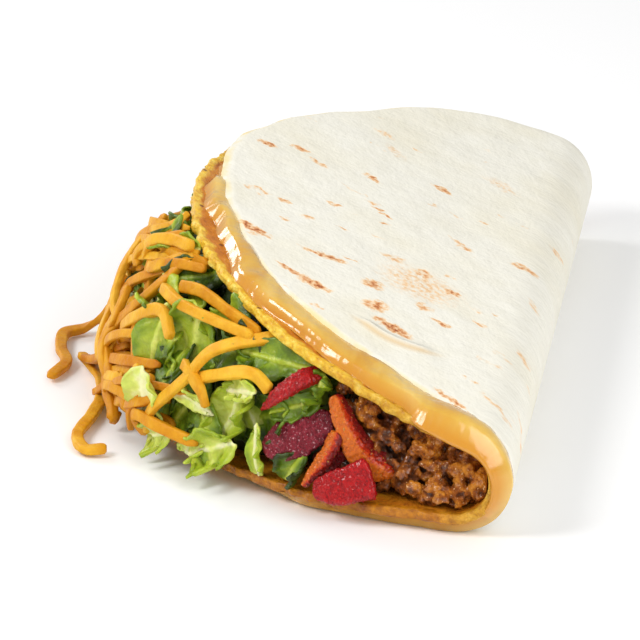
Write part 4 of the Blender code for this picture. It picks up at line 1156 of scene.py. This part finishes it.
# Cheddar: (degrees, height, lift in mm) on the heap's front for the shreds that stand out
LEADING_SHREDS = (
    ((64, 0.82, 6.4), (58, 0.86, 7.0), (52, 0.91, 6.4), (45, 0.95, 4.6)),
    ((62, 0.88, 5.0), (57, 0.96, 5.2), (51, 0.98, 4.6), (45, 0.97, 3.6)),
    ((53.5, 0.00, 6.4), (52, 0.20, 6.8), (49, 0.50, 6.8), (47.5, 0.78, 6.4), (43.0, 1.00, 3.6)),
    ((69, 0.42, 6.0), (65, 0.58, 7.0), (60, 0.75, 7.2), (55.5, 0.66, 6.6)),
    ((49, 0.50, 5.4), (44.5, 0.66, 6.4), (41, 0.76, 6.0), (37.5, 0.70, 5.0)),
    ((66, 0.98, 4.4), (66, 0.76, 6.0), (70, 0.48, 6.2), (79, 0.14, 5.4)),
    ((62, 1.00, 3.8), (66, 0.94, 5.2), (71, 0.82, 5.4)),
    ((78, 0.92, 4.6), (80, 0.68, 5.0), (84, 0.44, 5.0), (83, 0.16, 4.6)),
    ((84, 0.90, 4.4), (84, 0.62, 4.6), (88, 0.38, 4.6), (88, 0.16, 4.4)),
    ((60, 0.36, 6.2), (58, 0.22, 6.8), (58, 0.10, 6.4), (59, 0.00, 6.0)),
    ((55, 0.38, 6.4), (56, 0.24, 7.0), (57, 0.08, 6.8), (57, -0.06, 6.4)),
    ((51, 0.58, 6.0), (49, 0.58, 7.0), (46, 0.50, 6.8), (44.5, 0.38, 5.6)),
    ((118, 0.24, 3.4), (113, 0.34, 3.6), (109, 0.48, 3.4)),
    ((74, 0.60, 6.4), (72, 0.46, 6.8), (74, 0.30, 6.4), (79, 0.10, 5.6)),
)

# The other shreds: count, then ranges of degrees, height, half lean in radians and half rise
SHRED_GROUPS = (
    (50, (74, 134), (0.16, 0.88), (0.04, 0.24), (0.10, 0.32)),
    (18, (60, 76), (0.06, 0.42), (0.05, 0.14), (0.08, 0.20)),
    (8, (67, 80), (0.60, 0.92), (0.03, 0.12), (0.10, 0.28)),
    (7, (52, 60), (0.02, 0.22), (0.03, 0.10), (0.05, 0.14)),
)

# Shreds that hang over the lower rim and lie on the table, as (x, y from the fold's axis, z) in mm
FALLEN_SHREDS = (
    ((-3.0, -70.3, 17.5), (-6.0, -73.5, 11.0), (-9.0, -77.2, 5.0), (-10.0, -81.5, 1.6), (-7.0, -85.0, 1.4),
     (0.5, -84.2, 1.4), (7.5, -81.8, 1.4), (15.0, -83.5, 1.4)),
    ((32.0, -65.0, 15.5), (22.0, -71.0, 9.5), (13.0, -75.2, 4.5), (5.5, -78.7, 1.7)),
    ((3.0, -79.8, 1.4), (8.5, -76.7, 1.4), (15.0, -73.7, 1.4), (24.5, -72.0, 1.4), (33.0, -72.2, 1.4),
     (42.0, -73.0, 1.4), (48.2, -70.5, 1.4), (47.8, -66.5, 1.4)),
    ((39.0, -61.2, 14.0), (32.0, -67.0, 9.0), (26.0, -70.7, 4.5), (22.5, -73.2, 1.8)),
)
SHRED_WIDTH = 0.0021
SHRED_SIDES = 12
SHRED_SQUARENESS = 0.35


SHRED_FLATNESS = (0.5, 0.72)
SHRED_FACE = (0.5, -1, 0.4)
SHRED_TONES = (0.15, 0.9)
SHRED_LIFTS = (0.0026, 0.0060)
SHRED_ARCH = 0.0016
SHRED_BOW = 0.1
SHRED_STATIONS = (-1, -0.5, 0, 0.5, 1)
SHRED_DRAW = 17


def add_shred(batch, draw, path, width, face, rings):
    path = tucked(np.array(path), width * 0.6)
    uneven_width = flat_fbm(np.linspace(0, 1, rings), np.full(rings, draw.uniform(0, 90)), 2.5, 2)
    grow = (1 + 0.15 * uneven_width) * blunt_ends(rings, 0.08)
    thickness = width * draw.uniform(*SHRED_FLATNESS)
    points, faces = swept(path, width, thickness, face, SHRED_SIDES, grow, SHRED_SQUARENESS)
    uneven = 1 + 0.09 * fbm(points, 300.0, 2, draw.uniform(0, 50))
    middle = np.repeat(smooth_path(path, rings), SHRED_SIDES, axis=0)
    batch.add(middle + (points - middle) * uneven[:, None], faces, draw.uniform(*SHRED_TONES))


def loose_path(draw, angles, heights, leans, rises):
    """The drawn course of a shred over the heap's front."""
    angle = math.radians(draw.uniform(*angles))
    height = draw.uniform(*heights)
    lean = draw.uniform(*leans)
    rise = draw.choice((-1, -1, -1, 1)) * draw.uniform(*rises)
    lift = draw.uniform(*SHRED_LIFTS) - (0.0034 - 0.0022 * height) * far_share(angle)
    bow = draw.uniform(-SHRED_BOW, SHRED_BOW)
    hook = draw.uniform(-SHRED_BOW, SHRED_BOW)
    path = []
    for s in SHRED_STATIONS:
        arch = 1 - s * s
        place = (angle + lean * s + hook * s * s, height + rise * s + bow * arch, lift + SHRED_ARCH * arch)
        path.append(heap_point(*place))
    return path


def add_cheddar():
    batch = Batch()
    draw = random.Random(SHRED_DRAW)
    for row in LEADING_SHREDS:
        path = [heap_point(math.radians(angle), height, lift / 1000) for angle, height, lift in row]
        add_shred(batch, draw, path, SHRED_WIDTH * draw.uniform(0.9, 1.12), SHRED_FACE, 40)
    for row in FALLEN_SHREDS:
        path = [(x / 1000, FOLD_Y + y / 1000, z / 1000) for x, y, z in row]
        add_shred(batch, draw, path, SHRED_WIDTH * 1.05, (0, 0.2, 1), 12 * len(row))
    for count, *ranges in SHRED_GROUPS:
        for _ in range(count):
            path = loose_path(draw, *ranges)
            add_shred(batch, draw, path, SHRED_WIDTH * draw.uniform(0.75, 1.1), SHRED_FACE, 26)
    batch.piece("grated_cheddar", cheddar_look(), "cheddar_shreds", "cheddar")


# Kinds of strip: slot, dark, middle and light colour, and the colour and share of the pale flecks, which are
# crumbs and, on the red and orange strips, also painted glints
STRIP_KINDS = {
    "red": ("red_strip", (120, 0, 4), (204, 0, 10), (232, 24, 20), (255, 196, 176), 0.02),
    "purple": ("purple_strip", (74, 4, 18), (154, 22, 44), (196, 62, 80), (240, 170, 178), 0.12),
    "orange": ("orange_strip", (140, 4, 0), (236, 56, 0), (255, 126, 20), (255, 204, 96), 0.07),
}
STRIP_SIDES = 48
STRIP_RINGS = 100
STRIP_ENDS = (0.16, 0.35)
STRIP_UNEVEN = 0.08
STRIP_CRAGS = ((0.00014, 380.0, 3, 2.0), (0.00020, 1900.0, 2, 3.0))

# Painted light and shade on the orange strips: their tone is raised on one side and lowered on the other, as
# light falls; where round the section the lit side lies, in turns, and how strongly
ORANGE_LIT = 0.06
ORANGE_PAINTED_CONTRAST = 0.46

# Crisp strips: node, kind, (width, thickness) and path (x, y from the fold's axis, z) in mm, facing,
# squareness, the share of the width at places along it, and the tone from dark 0 to light 1; the back
# strip's low tone is painted shade
STRIPS = (
    ("red_strip_upper", "red", (3.5, 1.7), (1, -0.5, 0.6),
     ((62.0, -35.8, 16.5), (63.0, -32.2, 20.3), (61.8, -28.5, 22.8), (60.0, -25.8, 23.2)),
     0.5, (0.16, 0.75, 1.0, 1.0, 0.9), 0.5),
    ("purple_strip", "purple", (8.2, 1.6), (1, -0.25, 0.5),
     ((61.5, -35.2, 9.2), (62.0, -29.0, 13.0), (61.5, -23.0, 16.3)),
     0.7, (0.42, 0.86, 1.0, 0.86, 0.42), 0.5),
    ("orange_strip_long", "orange", (5.4, 3.4), (0.93, 0.32, 0.2),
     ((64.3, -22.4, 21.2), (66.0, -19.8, 15.8), (66.8, -16.5, 10.6), (66.5, -11.0, 7.4)),
     1.6, (0.5, 0.8, 1.05, 1.1, 0.75), 0.47),
    ("orange_strip_short", "orange", (3.1, 2.1), (1, -0.4, 0.2),
     ((64.5, -21.4, 15.2), (66.0, -23.6, 10.6), (67.5, -27.2, 5.8)),
     1.4, (0.9, 1.0, 0.95, 0.75, 0.5), 0.47),
    ("red_strip_lower", "red", (6.6, 2.2), (1, -0.2, 0.5),
     ((70.6, -25.2, 5.8), (71.2, -20.0, 7.0), (70.6, -14.6, 8.8)),
     0.32, (0.5, 0.82, 1.0, 1.06, 1.1), 0.5),
    # Its low tone is painted shade, as it lies in shadow behind the other strips
    ("red_strip_back", "red", (4.8, 1.6), (1, 0.2, 0.1),
     ((62.5, -26.2, 6.8), (63.0, -23.0, 7.8), (62.5, -19.2, 8.2)),
     0.5, (0.7, 1.0, 1.0, 0.9, 0.6), 0.16),
)


def strip_skin(path, width, thickness, facing, squareness, shares):
    """A strip's points and faces with its crags, and each point's crag. Width and thickness are in mm."""
    along = np.linspace(0, 1, STRIP_RINGS)
    grow = np.interp(along, np.linspace(0, 1, len(shares)), shares) * blunt_ends(STRIP_RINGS, *STRIP_ENDS)
    uneven = flat_fbm(along, np.full(STRIP_RINGS, width), 6.0, 3, 8.0)
    grow = grow * (1 + STRIP_UNEVEN * uneven)
    points, faces = swept(path, width / 1000, thickness / 1000, facing, STRIP_SIDES, grow, squareness, True)
    grid = points.reshape(STRIP_RINGS, STRIP_SIDES, 3)
    across = np.roll(grid, -1, 1) - np.roll(grid, 1, 1)
    outward = unit(np.cross(across, np.gradient(grid, axis=0))).reshape(-1, 3)
    middle = np.repeat(smooth_path(path, STRIP_RINGS), STRIP_SIDES, axis=0)
    outward = outward * np.sign(((points - middle) * outward).sum(-1, keepdims=True))
    crags = sum(size * fbm(points, scale, octaves, seed) for size, scale, octaves, seed in STRIP_CRAGS)
    return points + outward * crags[:, None], faces, crags


def add_strips():
    """Crisp strips with a rough crumbly skin, each out to where its solid lies."""
    looks = {kind: strip_look("crisp_" + slot, *colours) for kind, (slot, *colours) in STRIP_KINDS.items()}
    around = np.tile(np.arange(STRIP_SIDES), STRIP_RINGS) / STRIP_SIDES
    # Painted light and shade for the orange strips, by where a point lies round the section
    painted_light_side = np.clip(1.7 * np.cos(2 * math.pi * (around - ORANGE_LIT)), -1, 1)
    for node, kind, (width, thickness), facing, path, squareness, shares, tone in STRIPS:
        path = np.array(path) / 1000 + np.array((0, FOLD_Y, 0))
        points, faces, crags = strip_skin(path, width, thickness, facing, squareness, shares)
        points[:, 0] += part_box(node)[1].x - points[:, 0].max()
        # Painted light and shade: the orange strips' tone rises on their lit side and falls on the far side
        painted_lit_tone = tone + ORANGE_PAINTED_CONTRAST * painted_light_side if kind == "orange" else tone
        # Painted shade: on every strip the tone drops in the hollows of the crags
        add_piece("crisp_" + node, points, faces, looks[kind], node, STRIP_KINDS[kind][0],
                  tone=painted_lit_tone + crags / 0.0012)


# Stage, lights and camera
def add_floor():
    mesh = bpy.data.meshes.new("floor")
    bm = bmesh.new()
    bmesh.ops.create_grid(bm, x_segments=1, y_segments=1, size=FLOOR_SIZE)
    bm.to_mesh(mesh)
    bm.free()
    look = Look("pale_floor", Roughness=0.7)
    look.colour((250, 250, 250))
    mesh.materials.append(look.made)
    floor = bpy.data.objects.new("floor", mesh)
    bpy.context.scene.collection.objects.link(floor)


def add_light(name, place, size, power):
    """A square lamp that looks at the taco."""
    lamp = bpy.data.lights.new(name, "AREA")
    lamp.size = size
    lamp.energy = power
    made = bpy.data.objects.new(name, lamp)
    made.location = place
    made.rotation_euler = (CAMERA_TARGET - Vector(place)).to_track_quat("-Z", "Y").to_euler()
    bpy.context.scene.collection.objects.link(made)


def add_camera():
    lens = bpy.data.cameras.new("camera")
    lens.lens = FOCAL_PIXELS / IMAGE_WIDTH * SENSOR
    lens.sensor_width = SENSOR
    lens.shift_x = (IMAGE_WIDTH / 2 - TARGET_PIXEL[0]) / IMAGE_WIDTH
    lens.shift_y = (TARGET_PIXEL[1] - IMAGE_WIDTH / 2) / IMAGE_WIDTH
    lens.clip_start = 0.01
    back = Vector((math.sin(CAMERA_AZIMUTH) * math.cos(CAMERA_ELEVATION),
                   -math.cos(CAMERA_AZIMUTH) * math.cos(CAMERA_ELEVATION), math.sin(CAMERA_ELEVATION)))
    camera = bpy.data.objects.new("camera", lens)
    camera.location = CAMERA_TARGET + back * CAMERA_DISTANCE
    camera.rotation_euler = back.to_track_quat("Z", "Y").to_euler()
    bpy.context.scene.collection.objects.link(camera)
    bpy.context.scene.camera = camera


def add_world():
    world = bpy.data.worlds.new("studio")
    world.use_nodes = True
    background = world.node_tree.nodes["Background"]
    background.inputs["Color"].default_value = (1.0, 1.0, 1.0, 1.0)
    background.inputs["Strength"].default_value = SKY_STRENGTH
    bpy.context.scene.world = world
    bpy.context.scene.view_settings.view_transform = "Standard"


noise.seed_set(NOISE_SEED)
add_camera()
add_world()
add_floor()
for lamp in LAMPS:
    add_light(*lamp)
add_shell()
add_cheese()
add_flour()
add_beef()
add_lettuce()
add_cheddar()
add_strips()
